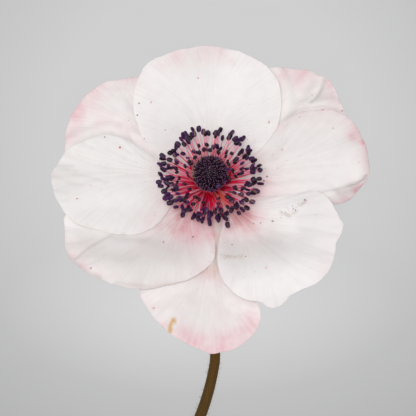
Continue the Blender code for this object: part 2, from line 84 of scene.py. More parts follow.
# Petals: what is finer than the solids
ROWS = 58
COLUMNS = 216
ROW_CROWDING = 1.35
BLADE_THICK = 0.28
RIM_THICK = 0.1
RIM_THINNING = 1.2
RIM_WOBBLE = 0.28
RIPPLE = 0.5
CRINKLE = 0.16
VEIN_RELIEF = 0.055
VEINS_ACROSS = 26.0
PLEAT = 0.2
PLEATS_ACROSS = 19.0
MARGIN_WIDTH = 0.55
MARGIN_FADE = 3.2
BASE_FROM = 9.0
BASE_FADE = 11.0
SEED_STEP = 20.0
ACROSS_STEP = 3.0

# Stamens, as in the solids but at their real number
STAMEN_WHORLS = [
    (88, (4.0, 1.0), (9.2, 5.6), (12.8, 7.0)),
    (72, (3.8, 1.3), (8.0, 5.6), (10.9, 7.8)),
    (44, (3.6, 1.5), (6.8, 5.2), (8.8, 8.3)),
    (30, (3.4, 1.7), (5.9, 4.4), (6.7, 8.6)),
]
STAMEN_SEED = 11
REACH_SPREAD = 1.1
UPRIGHT_SHORTENING = 0.055
CLUMPS = 23
CLUMPING = 0.032
TOP_SHIFT = {1: 1.5, 2: -1.3}
BELOW_SHIFT = {1: 0.6, 2: 2.4, 3: 2.6}
CROWDING_BELOW = 0.2
CROWDING_ASIDE = 0.08
STRAY_ANTHER = (4.9, -12.1, 8.0)
LEANING_STAMENS = [(-84, 5.6, 10.2), (-66, 5.2, 11.2), (-41, 5.3, 11.4), (-22, 5.4, 10.6),
                   (3, 5.3, 11.2), (21, 5.6, 10.2), (158, 5.8, 9.8)]
WHORL_TURN = 0.37
LIFT_SPREAD = 0.9
BOW_SPREAD = 0.7
SWING_SPREAD = 0.10
FILAMENT_POINTS = 9
FILAMENT_SIDES = 6
FILAMENT_ROOT = 0.22
FILAMENT_TIP = 0.12
SLIMMING_ABOVE = 0.28
PALE_STRANDS_FROM = 0.74
PALE_STRANDS_BY = 0.28
ANTHER_LENGTH = 2.05
ANTHER_WIDTH = 1.35
ANTHER_DEPTH = 1.0
ANTHER_SIZES = (0.86, 1.14)
ANTHER_LEAN = 0.55
ANTHER_HOLD = 0.38
OPEN_ANTHERS_FROM = 0.86
SALMON_BEARING = math.radians(296)
SALMON_HALF_WIDTH = math.radians(15)
ANTHER_RINGS = 8
ANTHER_SIDES = 14
SEAM_DEPTH = 0.42
SEAM_WIDTH = 0.38
DISC_PROFILE = [(0.0, 2.4), (2.6, 2.4), (4.0, 2.0), (4.5, 1.5), (4.3, 1.1), (2.2, 0.5), (0.0, 0.5)]

# Pistil
PISTIL_PROFILE = [(2.2, 2.7), (3.3, 3.7), (4.2, 5.2), (4.7, 7.0), (4.75, 8.6), (4.4, 10.2), (3.6, 11.6),
                  (2.4, 12.6), (1.1, 13.1), (0.0, 13.2)]
STYLES = 760
STYLE_SPACING = 0.6
STYLE_SEED = 5
STYLE_LENGTH = 0.75
STYLE_RADII = 0.16 * np.array([1.1, 1.0, 0.85, 0.5])
STYLE_SIDES = 5
STYLE_SPREAD = 0.28
# Styles on this side of the dome carry a painted highlight
HIGHLIT_STYLES_BEARING = math.radians(135)
CORE_SHRINK = 0.35

# Stem
RECEPTACLE_PROFILE = [(0.0, 0.0), (1.8, 0.0), (1.9, -1.9), (2.6, -1.95), (3.2, -2.5), (2.7, -3.7),
                      (1.9, -5.0), (1.5, -6.4), (0.0, -6.4)]
NECK_START = -5.6
STEM_FLAT = math.cos(math.pi / 12)
NECK_RADIUS = 1.6
BUTT_RADIUS = 2.25
NECK_POINTS = 24
STEM_ROUTE = [(1.5, -52.0), (0.9, -62.0), (-2.6, -75.0), (-8.6, -88.0), (-15.6, -102.0), (-21.0, -118.0),
              (-23.5, -128.0)]
ROUTE_STEP = 0.9
TAPER_FROM = -60.0
FINE_STEM_SIDES = 40
STEM_RIBS = 11
STEM_RIB_HEIGHT = 0.035
HAIRS = 1500
HAIR_SEED = 23
HAIR_LENGTHS = (0.5, 1.25)
HAIR_RADII = (0.032, 0.024, 0.008)
HAIR_CLEARANCE = 0.15

# Ruff
RUFF_AT = -97.0
COLLAR_LENGTH = 3.0
COLLAR_WALL = 1.0
COLLAR_ANGLES = (math.radians(-62), math.radians(242))
GAP = 0.3
LOBE_STALK = 8.0
LOBE_ANGLES = (-40, 0, 40)
TIP_ANGLES = (-22, 0, 22)
TIP_LENGTHS = (9.0, 12.0, 9.0)
LEAF_THICK = 0.36
LEAF_EDGE_THICK = 0.16
LEAF_PARTS = (-1, -0.6, -0.25, 0, 0.25, 0.6, 1)
SURFACE_CLEARANCE = 0.35
RUFF_SEED = 31
BRACTS = [
    (Vector((0.91, -0.03, 0.41)), Vector((-0.41, 0, 0.91)), Vector((0, 0.20, 0))),
    (Vector((-0.91, -0.03, 0.41)), Vector((0.41, 0, 0.91)), Vector((0, 0.24, 0))),
    (Vector((0.10, 0.92, 0.38)), Vector((0.99, -0.10, 0)), Vector((0, -0.30, 0.22))),
]

# Each petal, much as in the solids but with its rim traced more closely: the bearing of its foot in degrees,
# how far cup, sides and roll raise or lower it, how deep its pleats are, how pink its body, base and rim
# are, and which petals lie over it. Folds and brown spots are (points, half width, amount), creases are
# (points, half width, painted shade, depth), pink patches and painted shade are (x, y, radius, amount), and
# a bend is (start, end, slope). The painted shade darkens the colour towards grey-mauve in valleys, along
# creases, beside the margins of petals that lie over and over stretches turned away from the light. The
# brown lines along the lower margins of the left and lower left petals are painted shade in brown.
PETALS = {
    "petal_top": dict(
        foot=90, whorl="front", cup=7.9, sides=(0.9, 0.2), roll=0.4, pleats=0.3, pink=(0, 0.12, 0.1),
        under=[],
        rim=[(-11.9, 5.4), (-18.2, 11.1), (-21.9, 20.4), (-21.3, 27), (-19.8, 31.2), (-17.3, 34.4),
             (-12.9, 36.5), (-8, 38), (-1.4, 39.1), (5, 38.2), (10, 36.8), (14.9, 34.1), (18.1, 31),
             (20.1, 26.6), (20.4, 21.6), (19.4, 16.4), (17.6, 13), (14.2, 9), (10.6, 6.6)],
        folds=[([(-1, 16), (-2, 32)], 8, -0.9)],
        patches=[(-9.5, 35.4, 3, 0.26), (-3, 37, 3.6, 0.26), (2.4, 38, 3, 0.24), (6.6, 35, 1.5, 0.2),
                 (-14, 34, 2.4, 0.16)],
        shade=[(-1.5, 14, 5, 0.1), (-3, 37.5, 9, 0.23)],
    ),
    "petal_upper_left": dict(
        foot=140, whorl="rear", cup=2.9, sides=(-0.6, -0.2), roll=0.5, pleats=0.6, pink=(0.13, 0.2, 0.26),
        under=["petal_top", "petal_left"],
        rim=[(-17.9, 1.2), (-32.7, 1.9), (-40, 5.6), (-41.3, 11.9), (-40.5, 17), (-38.4, 21), (-35.3, 25.3),
             (-30.8, 28.5), (-25.9, 29.6), (-20.6, 30.1), (-14.2, 27.3), (-9.7, 19.9), (-5.7, 10.7)],
        folds=[([(-12, 10), (-30, 20)], 4, 1.2), ([(-12, 14), (-24, 27)], 3, -0.9)],
        creases=[([(-38.5, 10.4), (-33.6, 12.8), (-29, 13.9), (-22.7, 12.1), (-15, 7)], 0.6, 0.26, 0)],
        patches=[(-40.6, 13, 3.4, 0.22), (-38.3, 19.6, 3, 0.26), (-36.8, 21.5, 2.2, 0.14),
                 (-34.5, 25, 3.4, 0.22), (-30, 28.2, 3, 0.14), (-22, 30, 4, 0.08), (-31, 17.5, 4, 0.12),
                 (-24, 15.5, 4, 0.1), (-18, 11.5, 4, 0.1)],
        shade=[(-24, 27.5, 4, 0.16)],
    ),
    "petal_left": dict(
        foot=172, whorl="front", cup=7.6, sides=(0.4, 0.6), roll=0.5, pleats=1.1, pink=(0.01, 0.35, 0.04),
        under=["petal_top"],
        rim=[(-6, -2.8), (-10.7, -6.8), (-14.4, -11.5), (-18.2, -14.1), (-22.7, -14.8), (-26.6, -14.7),
             (-30.7, -13.7), (-34, -12.9), (-36.9, -12), (-39.6, -9.9), (-41.6, -6.9), (-43, -4.4),
             (-44.1, -0.9), (-44.3, 2.4), (-42.8, 4.9), (-40.8, 8.2), (-37.8, 10.6), (-33.6, 12.3),
             (-29, 13.4), (-22.7, 11.4), (-14.8, 6.2)],
        folds=[([(-20, 3), (-40, 5)], 3, -0.5), ([(-20, -3), (-42, -4)], 3.5, 0.7)],
        creases=[([(-43, 4.6), (-38.4, 4.5)], 0.4, 0.2, 0.14), ([(-41, 3.7), (-37.2, 2.9)], 0.4, 0.16, 0.1),
                 ([(-38.4, 2.1), (-34.4, 1.6), (-31.6, 0.6), (-28.9, -0.1)], 0.45, 0.18, 0.14),
                 ([(-44.4, 1.3), (-41.6, 1.2)], 0.4, 0.14, 0.1),
                 ([(-39.4, -0.4), (-35.6, -1)], 0.45, 0.12, 0.12),
                 ([(-38, 6.6), (-32.1, 4.9), (-27, 3.6)], 0.5, 0.06, 0.12),
                 ([(-42.9, -2.4), (-39.4, -2.9)], 0.45, 0.1, 0.12),
                 ([(-41.5, -5.4), (-36, -5)], 0.5, 0.06, 0.1)],
        patches=[(-43.9, 1.8, 1, 0.16), (-16.8, -11.8, 3.6, 0.26), (-12, -7, 3, 0.14)],
        shade=[(-43.5, -1, 7, 0.24)],
        # The first brown line follows the lower margin, where it lies over the lower left petal: painted shade
        # in brown
        spots=[([(-39, -10.2), (-36.6, -12), (-31, -13.5), (-24, -14.6)], 0.4, 0.12),
               ([(-40.8, 8.4), (-38, 7.6)], 1.5, 0.05)],
    ),
    "petal_lower_left": dict(
        foot=228, whorl="front", cup=6.6, sides=(-0.5, -2.4), roll=0.9, pleats=0.8, pink=(0.11, 0.9, 0.13),
        under=["petal_left"],
        rim=[(-0.3, -7.6), (0.8, -12), (1.3, -16), (1.6, -19.3), (1, -21.8), (-0.9, -24.1), (-4.2, -26.4),
             (-7.6, -27.7), (-12.9, -29), (-18.4, -29.9), (-24.8, -29), (-30.3, -27), (-33.9, -25.3),
             (-37, -23.2), (-39.3, -20.7), (-40.3, -17.3), (-40.5, -12.6), (-40.4, -9.6), (-37.6, -7.4),
             (-28.5, -6.6), (-16, -3.6), (-8.2, -1.6)],
        folds=[([(-25, -16.4), (-15, -17.2)], 1.8, -0.4), ([(-32, -23.5), (-7, -23)], 4.2, 1.2),
               ([(-31, -12.8), (-18, -12.4)], 2.2, 0.7), ([(-39, -14.4), (-31, -15)], 1.1, 0.4)],
        creases=[
                 ([(-37.3, -21.6), (-34.5, -19.1), (-32.1, -17.5), (-29.6, -16.2), (-27.6, -15)],
                  0.42, 0.44, 0.4), ([(-40, -17.4), (-36.4, -17), (-32.8, -16.2)], 0.35, 0.18, 0.1),
                 ([(-40, -18.8), (-37.8, -18.2)], 0.35, 0.14, 0.1),
                 ([(-27.4, -15.7), (-21.5, -16), (-14, -16.9)], 1, 0.24, 0),
                 ([(-24.4, -16.2), (-18.6, -16.8)], 0.8, 0.12, 0),
                 ([(-27, -16.2), (-19, -16.8), (-12, -17.6)], 2.1, 0.09, 0),
                 ([(-26, -28.1), (-16, -29.3), (-10, -28.2)], 0.55, 0.26, 0),
                 ([(-36.4, -22.6), (-33, -19.8), (-29.5, -18.4)], 0.6, 0.12, 0.12),
                 ([(-34, -23.4), (-29, -20.6)], 0.6, 0.1, 0.12),
                 ([(-39.8, -19.6), (-38.8, -21.1), (-36.8, -22.9), (-33.7, -25), (-30.2, -26.6)],
                  0.5, 0.5, 0)],
        patches=[(-7.5, -13, 5, 0.6), (-12.5, -12, 5, 0.3), (-38.2, -21.4, 1.6, 0.28),
                 (-35, -24.2, 1.6, 0.42), (-31.2, -26.2, 1.6, 0.34), (0.8, -15, 2, 0.3),
                 (-39.5, -12, 3.4, -0.13)],
        shade=[(-34.5, -18, 6, 0.22), (-9, -19.5, 5, 0.16), (-16, -14, 5, 0.08), (-20, -25, 9, 0.3)],
        # This brown line follows the lower margin, where it lies over the bottom petal: painted shade in brown
        spots=[([(-24, -28.8), (-16, -29.5), (-10, -28.3)], 0.5, 0.1)],
    ),
    "petal_bottom": dict(
        foot=270, whorl="rear", cup=4.1, sides=(-0.8, -0.8), roll=0.5, pleats=1, pink=(0.14, 0.8, 0.14),
        under=["petal_lower_left", "petal_lower_right"],
        rim=[(3.6, -9.4), (9, -20.7), (12.6, -31), (13.9, -36.8), (13.3, -40.6), (9.9, -44), (6.4, -46.2),
             (3, -46.9), (0, -47.3), (-3.4, -46.1), (-8, -43.8), (-12.2, -40.9), (-15.4, -37.9),
             (-18.6, -33.2), (-19.2, -29), (-16.6, -22.7), (-9.4, -13.6), (-4.8, -9.2)],
        folds=[([(0, -20), (-1, -44)], 5, -1.2), ([(1.8, -12), (1.8, -23)], 1.4, 1)],
        creases=[([(2.6, -12), (2, -18), (1.4, -25)], 1.1, 0.26, 0)],
        patches=[(6, -44.4, 3.4, 0.5), (11.3, -40.4, 3, 0.42), (13, -37.5, 2.2, 0.3), (1.2, -46.2, 3, 0.4),
                 (-3, -45, 3.2, 0.46), (-8.4, -42.2, 2.4, 0.36), (-12.8, -39.6, 1.4, 0.4), (0.8, -24, 4, 0.4),
                 (1.8, -19.5, 2.2, 0.5), (12, -31.5, 2.2, 0.2), (-18, -31, 4, -0.08)],
        shade=[(0.8, -24.5, 4.5, 0.18), (-4, -35, 12, 0.1)],
        spots=[([(-10.1, -38.5), (-10.9, -40.1), (-11, -41.4)], 0.62, 1),
               ([(-10.2, -38.3), (-9.5, -39.1)], 0.4, 0.8), ([(2.4, -12), (0.8, -25)], 1.6, 0.14),
               ([(-3.6, -26.2), (1.2, -25)], 1.4, 0.08)],
    ),
    "petal_lower_right": dict(
        foot=308, whorl="front", cup=7.4, sides=(1, 0.5), roll=0.3, pleats=0.7, pink=(0.02, 0.8, 0.07),
        under=[],
        rim=[(4.6, -2), (7.4, -3), (14.2, -4.3), (22.7, -3.6), (26.2, -3), (29.5, -2.8), (32, -3.5),
             (33.7, -5.2), (34.8, -7.5), (36, -10), (37.1, -12), (36.4, -14.6), (35, -17.6), (34.3, -21.2),
             (32.5, -24.9), (29.6, -27.8), (24.8, -30.2), (21.9, -31.5), (20.8, -33), (19.3, -34.2),
             (17.3, -34.8), (15.4, -34.3), (14, -33.3), (10.6, -32.8), (8.2, -31.9), (5.9, -30.4),
             (4.2, -28.4), (2.9, -25.9), (2.2, -23), (2.1, -19.2), (2.6, -16), (3.4, -12.8), (2.2, -8.4)],
        folds=[([(6, -16.5), (24, -14.8)], 4.2, -1.8), ([(8, -27), (30, -22)], 5, 1.4)],
        creases=[([(24, -9.6), (30, -9), (35, -9.6)], 0.6, 0.08, 0.16),
                 ([(24.5, -13), (30.5, -13.6), (35.6, -14.8)], 0.6, 0.08, 0.16),
                 ([(23.5, -16.4), (29, -18), (33.6, -20)], 0.6, 0.06, 0.14),
                 ([(3, -20.4), (5.6, -21), (8.8, -21)], 0.5, 0.22, 0.15),
                 ([(19.9, -8.5), (21.2, -9.2), (22.2, -9.8)], 0.34, 0.75, 0.05),
                 ([(23, -9.1), (24.4, -8.3)], 0.3, 0.5, 0), ([(25.6, -6.6), (26.9, -5.3)], 0.3, 0.55, 0.05)],
        patches=[(11.5, -12, 4.6, 0.5), (6, -10.5, 4, 0.45), (31, -23.5, 2.4, 0.12)],
        shade=[(8, -17, 5, 0.2), (17, -16, 4.6, 0.36), (25, -13, 4, 0.08), (29, -8, 5, 0.12)],
        spots=[([(3.2, -20.8), (5.6, -21.3), (8.6, -21.4)], 0.4, 0.24),
               ([(19.9, -8.6), (22.2, -9.7)], 0.4, 0.16), ([(23, -9), (24.4, -8.4)], 0.4, 0.12),
               ([(25.8, -6.4), (27, -5.3)], 0.3, 0.16)],
    ),
    "petal_right": dict(
        foot=12, whorl="front", cup=6.4, sides=(0.6, -2.2), roll=0.8, pleats=0.8, pink=(0.05, 0.45, 0.4),
        under=["petal_top", "petal_lower_right"], bend=((32, -3.4), (45, 1.6), 0.75),
        rim=[(5.2, 5.6), (10.5, 9.8), (16.4, 14.2), (21.6, 17.3), (24.7, 19.4), (28.4, 20.4), (34, 20.6),
             (38.4, 18.9), (41, 16), (43, 12.1), (44.2, 9), (44.7, 5), (44.5, 1.6), (43.2, -0.7),
             (41.3, -2.8), (39.5, -4.9), (36.5, -6.2), (31.4, -6.8), (21.3, -7.6), (11.6, -4.2), (6, -2)],
        folds=[([(20, 6), (38, 8)], 6, 1.2)],
        creases=[
                 ([(31.2, -2.9), (34.8, -2.3), (38.3, -1.5), (41.2, -0.6), (43, 0.4), (43.9, 1.9)],
                  0.36, 0.4, 0.3), ([(39, -1.3), (41.2, -0.6), (43, 0.4), (43.7, 1.6)], 0.36, 0.4, 0.2),
                 ([(43.6, 0.6), (44.5, 2.4), (44.7, 4.8), (44.3, 8), (43.9, 9.8)], 0.4, 0.4, 0),
                 ([(43, 1), (43.8, 3.5), (43.6, 8)], 1.2, 0.2, 0),
                 ([(35.8, -2.8), (38.6, -2.4), (41.2, -1.5)], 1.1, 0.34, 0)],
        patches=[(40.8, 15.3, 1.5, 0.6), (40.2, 13, 1.5, 0.55), (41.9, 14, 1.2, 0.5), (44.4, 7.4, 1.5, 0.34),
                 (44.7, 3.4, 1.6, 0.36), (43.8, -0.8, 1.8, 0.28), (43.3, 11.1, 1.1, 0.8),
                 (38.8, 17.6, 1.4, 0.16), (44.2, 4.6, 1.6, 0.2), (41.2, -2.3, 1.5, 0.75),
                 (37.5, -5.6, 2.2, 0.34), (16, -1, 6, 0.25), (44.7, 8, 1, 0.5), (44.9, 5.2, 0.9, 0.45),
                 (44.6, 1.4, 1, 0.4), (43.2, -1, 1, 0.3)],
        shade=[(31, 5, 13, 0.12), (41, 12, 5, 0.18), (38, -4.5, 4, 0.14)],
    ),
    "petal_upper_right": dict(
        foot=50, whorl="rear", cup=4.7, sides=(-0.6, -0.4), roll=0.5, pleats=0.7, pink=(0.14, 0.25, 0.16),
        under=["petal_top", "petal_right"],
        rim=[(2.9, 7.4), (5.7, 18.2), (9.1, 27.3), (14.8, 32.4), (21.5, 32.9), (27.2, 32.2), (29.4, 31.8),
             (30.8, 30.6), (32.4, 30.2), (34, 29.2), (35.1, 27.6), (36.2, 25.6), (37.3, 22.7), (38.2, 19.2),
             (35.6, 14.2), (27, 10.1), (13.8, 5.9)],
        folds=[([(24.5, 20), (31.5, 27.5)], 1.6, -0.6), ([(20.5, 21.5), (28.5, 30.5)], 2.6, 0.8)],
        creases=[
                 ([(22, 18.2), (24, 20.2), (25.4, 22.2), (27.2, 24.2), (28.6, 26.2), (29.8, 28.8)],
                  1.3, 0.26, 0.12),
                 ([(28.8, 22.8), (30, 23.6), (31.2, 25), (32.1, 26.8), (32.9, 29.4)], 0.5, 0.62, 0.5),
                 ([(30.4, 22.6), (32.6, 24.6), (33.8, 27.6)], 0.5, 0.14, 0.12),
                 ([(18, 15.8), (21, 17.7), (24.4, 20.1), (27.6, 21.1), (31.5, 21.5), (36, 20.8), (38, 19.5)],
                  0.5, 0.4, 0)],
        patches=[(26.6, 31.4, 2.6, 0.24), (21, 31.4, 1.6, 0.14), (24.8, 28, 2.2, 0.16),
                 (34.6, 27.2, 1.1, 0.6), (33.8, 28.8, 0.9, 0.4), (35.2, 25.2, 1.1, 0.36), (36, 22.6, 2, 0.16),
                 (33.5, 23.5, 2.6, 0.14), (18, 30, 3, 0.12), (27, 22, 3, 0.08)],
        shade=[(34, 25, 3.2, 0.24), (25, 30, 5, 0.12)],
    ),
}

# Grains and specks seen on the petals, as (x, y, size, how pink)
GRAINS = [(-20.2, 22.4, 0.24, 0.1), (-20.7, 19, 0.22, 0), (-12.8, 14.8, 0.2, 0), (-18.7, 12.2, 0.24, 0),
          (-25.6, 9.7, 0.38, 1), (-33.5, -1.1, 0.28, 0.65), (-37.2, -4.8, 0.24, 0.85), (-13.1, -17, 0.3, 0.3),
          (-4.8, -15.6, 0.26, 0.1), (-32.9, -24.1, 0.38, 0.7), (9.9, -21.1, 0.3, 0.95),
          (15.6, -24.1, 0.32, 0.68), (17.6, -11.1, 0.3, 0.15), (12.2, -11.9, 0.26, 0.2),
          (14.2, -11.6, 0.22, 0.3), (20.6, 9.1, 0.36, 0.62), (34.9, 15.1, 0.26, 0.75), (41.7, 5.4, 0.24, 0.7),
          (32.1, 20.4, 0.3, 0.75), (16.2, 1.4, 0.38, 0), (15.3, 0.2, 0.28, 0), (-15.6, -35.2, 0.4, 0.72),
          (6.2, -17.8, 0.2, 0.1), (24, -8, 0.22, 0.1), (16.8, 17, 0.4, 0.6), (25.6, 18.5, 0.34, 0.58),
          (-16.8, 22.7, 0.36, 0.6), (-3.4, 29.8, 0.36, 0.58), (29.2, 25, 0.26, 0.62),
          (-29.9, 12.6, 0.22, 0.1), (37.6, 20.2, 0.3, 0.1), (26.6, -5.2, 0.3, 0.1)]
GRAIN_CORNERS = [(0, 0, 1), (0.9, 0, 0.2), (0.2, 0.85, 0.25), (-0.8, 0.3, 0.15), (-0.4, -0.8, 0.2),
                 (0.5, -0.7, 0.1), (0, 0, -0.6)]
GRAIN_FACES = [(0, 1, 2), (0, 2, 3), (0, 3, 4), (0, 4, 5), (0, 5, 1),
               (6, 2, 1), (6, 3, 2), (6, 4, 3), (6, 5, 4), (6, 1, 5)]
DUST = 150
DUST_SEED = 7
SMEARED = 26

# How much of a petal's light comes through it
THROUGH_SHARE = 0.28


def unit(vectors):
    """A vector, or each of several, made one long."""
    return vectors / np.linalg.norm(vectors, axis=-1, keepdims=True)


def from_axis(radius, bearing, height):
    """Points at a distance from the z axis, at a bearing and at a height."""
    parts = np.broadcast_arrays(radius * np.cos(bearing), radius * np.sin(bearing), height)
    return np.stack(parts, axis=-1)


def transformed(points, matrix):
    """Points in millimetres moved by a matrix that is also in millimetres."""
    turn = np.array(matrix)
    return np.asarray(points, float) @ turn[:3, :3].T + turn[:3, 3]


def spline_through(points, per_span):
    """Points of a Catmull-Rom curve through the given ones, per_span of them to each stretch."""
    points = [np.array(p, float) for p in points]
    ends = [2 * points[0] - points[1], *points, 2 * points[-1] - points[-2]]
    made = []
    for a, b, c, d in zip(ends, ends[1:], ends[2:], ends[3:]):
        for t in np.arange(per_span) / per_span:
            made.append(0.5 * (2 * b + (c - a) * t + (2 * a - 5 * b + 4 * c - d) * t**2
                               + (3 * b - a - 3 * c + d) * t**3))
    return np.array([*made, points[-1]])


def run_along(points):
    """How far along a polyline each of its points lies."""
    return np.concatenate([[0], np.cumsum(np.linalg.norm(np.diff(points, axis=0), axis=1))])


def evenly_along(curve, count):
    """count points at even distances along a polyline."""
    run = run_along(curve)
    wanted = np.linspace(0, run[-1], count)
    return np.stack([np.interp(wanted, run, column) for column in curve.T], axis=1)


def bezier(start, middle, end, count):
    t = np.linspace(0, 1, count)[:, None]
    start, middle, end = (np.array(p, float) for p in (start, middle, end))
    return (1 - t) ** 2 * start + 2 * t * (1 - t) * middle + t**2 * end


def noise_over(x, y, seed):
    """Smooth noise between about -1 and 1 at each pair of coordinates."""
    x, y = np.broadcast_arrays(x, y)
    flat = [noise.noise(Vector((a, b, seed))) for a, b in zip(x.ravel(), y.ravel())]
    return np.reshape(flat, x.shape)


def any_way(draw, most=1):
    """A random vector, none of its parts longer than most."""
    return [draw.uniform(-most, most) for _ in range(3)]


def bell(away, width):
    """1 where away is nothing, and less further off by a bell-shaped curve."""
    return np.exp(-((away / width) ** 2))


class Shape:
    """Vertices in millimetres, faces, and named values at each vertex, gathered for one mesh."""

    def __init__(self, *names):
        self.points = []
        self.faces = []
        self.values = {name: [] for name in names}

    def add(self, points, faces, **values):
        first = len(self.points)
        self.points.extend(tuple(p) for p in points)
        self.faces.extend(tuple(first + corner for corner in face) for face in faces)
        for name, value in values.items():
            self.values[name].extend(np.broadcast_to(value, len(points)).tolist())

    def place(self, name, material, slot, node, matrix=Matrix()):
        """Makes the piece, which rides on the part's body and stands for a node if one is given."""
        mesh = bpy.data.meshes.new(name)
        mesh.from_pydata((transformed(self.points, matrix) * MM).tolist(), [], self.faces)
        for value_name, values in self.values.items():
            mesh.attributes.new(value_name, "FLOAT", "POINT").data.foreach_set("value", values)
        mesh.shade_smooth()
        mesh.materials.append(material)
        piece = bpy.data.objects.new(name, mesh)
        bpy.context.scene.collection.objects.link(piece)
        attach(piece, "root")
        if node:
            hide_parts(node)


def ring_faces(rings, sides):
    """Faces between rings of points, and fans to the two end points that follow them."""
    faces = []
    for ring in range(rings - 1):
        for k in range(sides):
            a, b = ring * sides + k, ring * sides + (k + 1) % sides
            faces.append((a, b, b + sides, a + sides))
    last, ends = (rings - 1) * sides, rings * sides
    for k in range(sides):
        faces.append(((k + 1) % sides, k, ends))
        faces.append((last + k, last + (k + 1) % sides, ends + 1))
    return faces


def ringed(values, sides, ends=(0, 1)):
    """A value for each ring, given to all its points, and then those of the two end points."""
    return np.concatenate([np.repeat(values, sides), ends])


def tube_parts(points, radii, sides, ribs=None):
    """Vertices and faces of a closed round bar along the points, ring by ring, then its two ends."""
    points = np.array(points, float)
    ways = unit(np.gradient(points, axis=0))
    side = np.cross(ways[0], (0.31, 0.87, 0.37))
    angle = np.arange(sides) * math.tau / sides
    verts = []
    for index, (point, way) in enumerate(zip(points, ways)):
        side = unit(side - way * (side @ way))
        radius = radii[index] * (np.ones(sides) if ribs is None else ribs[index])
        over_side, over_up = radius * np.cos(angle), radius * np.sin(angle)
        verts.extend(point + over_side[:, None] * side + over_up[:, None] * np.cross(way, side))
    verts.extend([points[0] - ways[0] * radii[0] * 0.25, points[-1] + ways[-1] * radii[-1] * 0.4])
    return verts, ring_faces(len(points), sides)


def turned_parts(profile, sides):
    """Vertices and faces of a profile of (radius, height), from axis to axis, turned round z."""
    angle = np.arange(sides) * math.tau / sides
    middle = profile[1:-1]
    verts = [point for r, z in middle for point in from_axis(r, angle, z)]
    verts += [(0, 0, profile[0][1]), (0, 0, profile[-1][1])]
    return verts, ring_faces(len(middle), sides)


def turned_through(places, per_span):
    """The same for a smooth profile through the places, which are given from the top down."""
    profile = [(max(r, 0), z) for r, z in spline_through(places[::-1], per_span)]
    return turned_parts(profile, TURNED_SIDES)


def grid_faces(rows, columns, flip=False):
    faces = []
    for row in range(rows):
        for column in range(columns):
            a = row * (columns + 1) + column
            face = (a, a + columns + 1, a + columns + 2, a + 1)
            faces.append(face[::-1] if flip else face)
    return faces


def blade_parts(grid, half):
    """A closed blade: a grid of points moved by half its thickness to either side, and joined all round."""
    rows, columns = grid.shape[0] - 1, grid.shape[1] - 1
    verts = np.concatenate([(grid + half).reshape(-1, 3), (grid - half).reshape(-1, 3)])
    count = len(verts) // 2
    flip = np.sum(np.cross(np.gradient(grid, axis=0), np.gradient(grid, axis=1)) * half) < 0
    faces = grid_faces(rows, columns, flip)
    faces += [tuple(count + corner for corner in face) for face in grid_faces(rows, columns, not flip)]
    border = list(range(columns))
    border += [row * (columns + 1) + columns for row in range(rows)]
    border += [rows * (columns + 1) + column for column in range(columns, 0, -1)]
    border += [row * (columns + 1) for row in range(rows, 0, -1)]
    for a, b in zip(border, border[1:] + border[:1]):
        strip = (a, b, b + count, a + count)
        faces.append(strip[::-1] if flip else strip)
    return verts, faces


# Petals

def near_line(x, y, points, half_width):
    """1 on the line through the points, and less beside it."""
    away = np.full(np.shape(x), np.inf)
    for (ax, ay), (bx, by) in zip(points, points[1:]):
        wide, tall = bx - ax, by - ay
        along = np.clip(((x - ax) * wide + (y - ay) * tall) / (wide**2 + tall**2), 0, 1)
        away = np.minimum(away, np.hypot(x - ax - along * wide, y - ay - along * tall))
    return bell(away, half_width)


def lines_over(x, y, lines):
    """What lines of (points, half width, amount) add up to at each point."""
    return sum((line[2] * near_line(x, y, *line[:2]) for line in lines), np.zeros(x.shape))


def patches_over(x, y, patches):
    """What round patches of (x, y, radius, amount) add up to at each point."""
    rounds = (amount * bell(np.hypot(x - px, y - py), radius) for px, py, radius, amount in patches)
    return sum(rounds, np.zeros(x.shape))


def bend_height(x, y, start, end, slope):
    """A surface that falls away at a slope on the right-hand side of the line from start to end."""
    line = np.array(end, float) - np.array(start, float)
    past = ((x - start[0]) * line[1] - (y - start[1]) * line[0]) / np.linalg.norm(line)
    return -slope * BEND_SOFTNESS * np.log1p(np.exp(np.clip(past / BEND_SOFTNESS, -30, 30)))


def petal_height(petal, x, y, out, across, reach):
    """Height of the petal's form above the face plane: the solid's, with closer folds and creases."""
    height = (FRONT_FOOT if petal["whorl"] == "front" else REAR_FOOT) - y * math.tan(CENTRE_LEAN)
    height = height + petal["cup"] * (np.hypot(x, y) / CUP_RADIUS) ** CUP_POWER
    height = height + np.where(across < 0, *petal["sides"]) * np.abs(across) ** 3 * reach * out**0.8
    grown = np.clip(out * 2.2, 0, 1) ** 2
    height = height + grown * lines_over(x, y, petal["folds"])
    if "bend" in petal:
        height = height + bend_height(x, y, *petal["bend"])
    for points, half_width, _, depth in petal.get("creases", []):
        height = height - grown * depth * near_line(x, y, points, half_width)
    rolled = np.clip((out - ROLL_START) / (1 - ROLL_START), 0, 1)
    return height - petal["roll"] * reach**2 * rolled**2


def fine_height(out, across, reach, pleats, seed):
    """Ripples along the margin, soft crinkles, fine pleats and the relief of the veins."""
    ripple = RIPPLE * noise_over(across * 5.5, out * 1.2, seed) * out**4
    ripple = ripple + 0.35 * RIPPLE * noise_over(across * 15, out * 2, seed + 7) * out**6
    crinkle = CRINKLE * noise_over(across * 9, out * 5, seed + 3) * np.clip(out * 2, 0, 1)
    veins = VEIN_RELIEF * noise_over(across * VEINS_ACROSS, out * 2.2, seed + 5)
    veins = veins * np.sin(math.pi * np.clip(out, 0.04, 0.97))
    pleated = PLEAT * pleats * noise_over(across * PLEATS_ACROSS, out * 1.3, seed + 9)
    return (ripple + crinkle + veins + pleated * np.clip(out * 2 - 0.7, 0, 1)) * reach


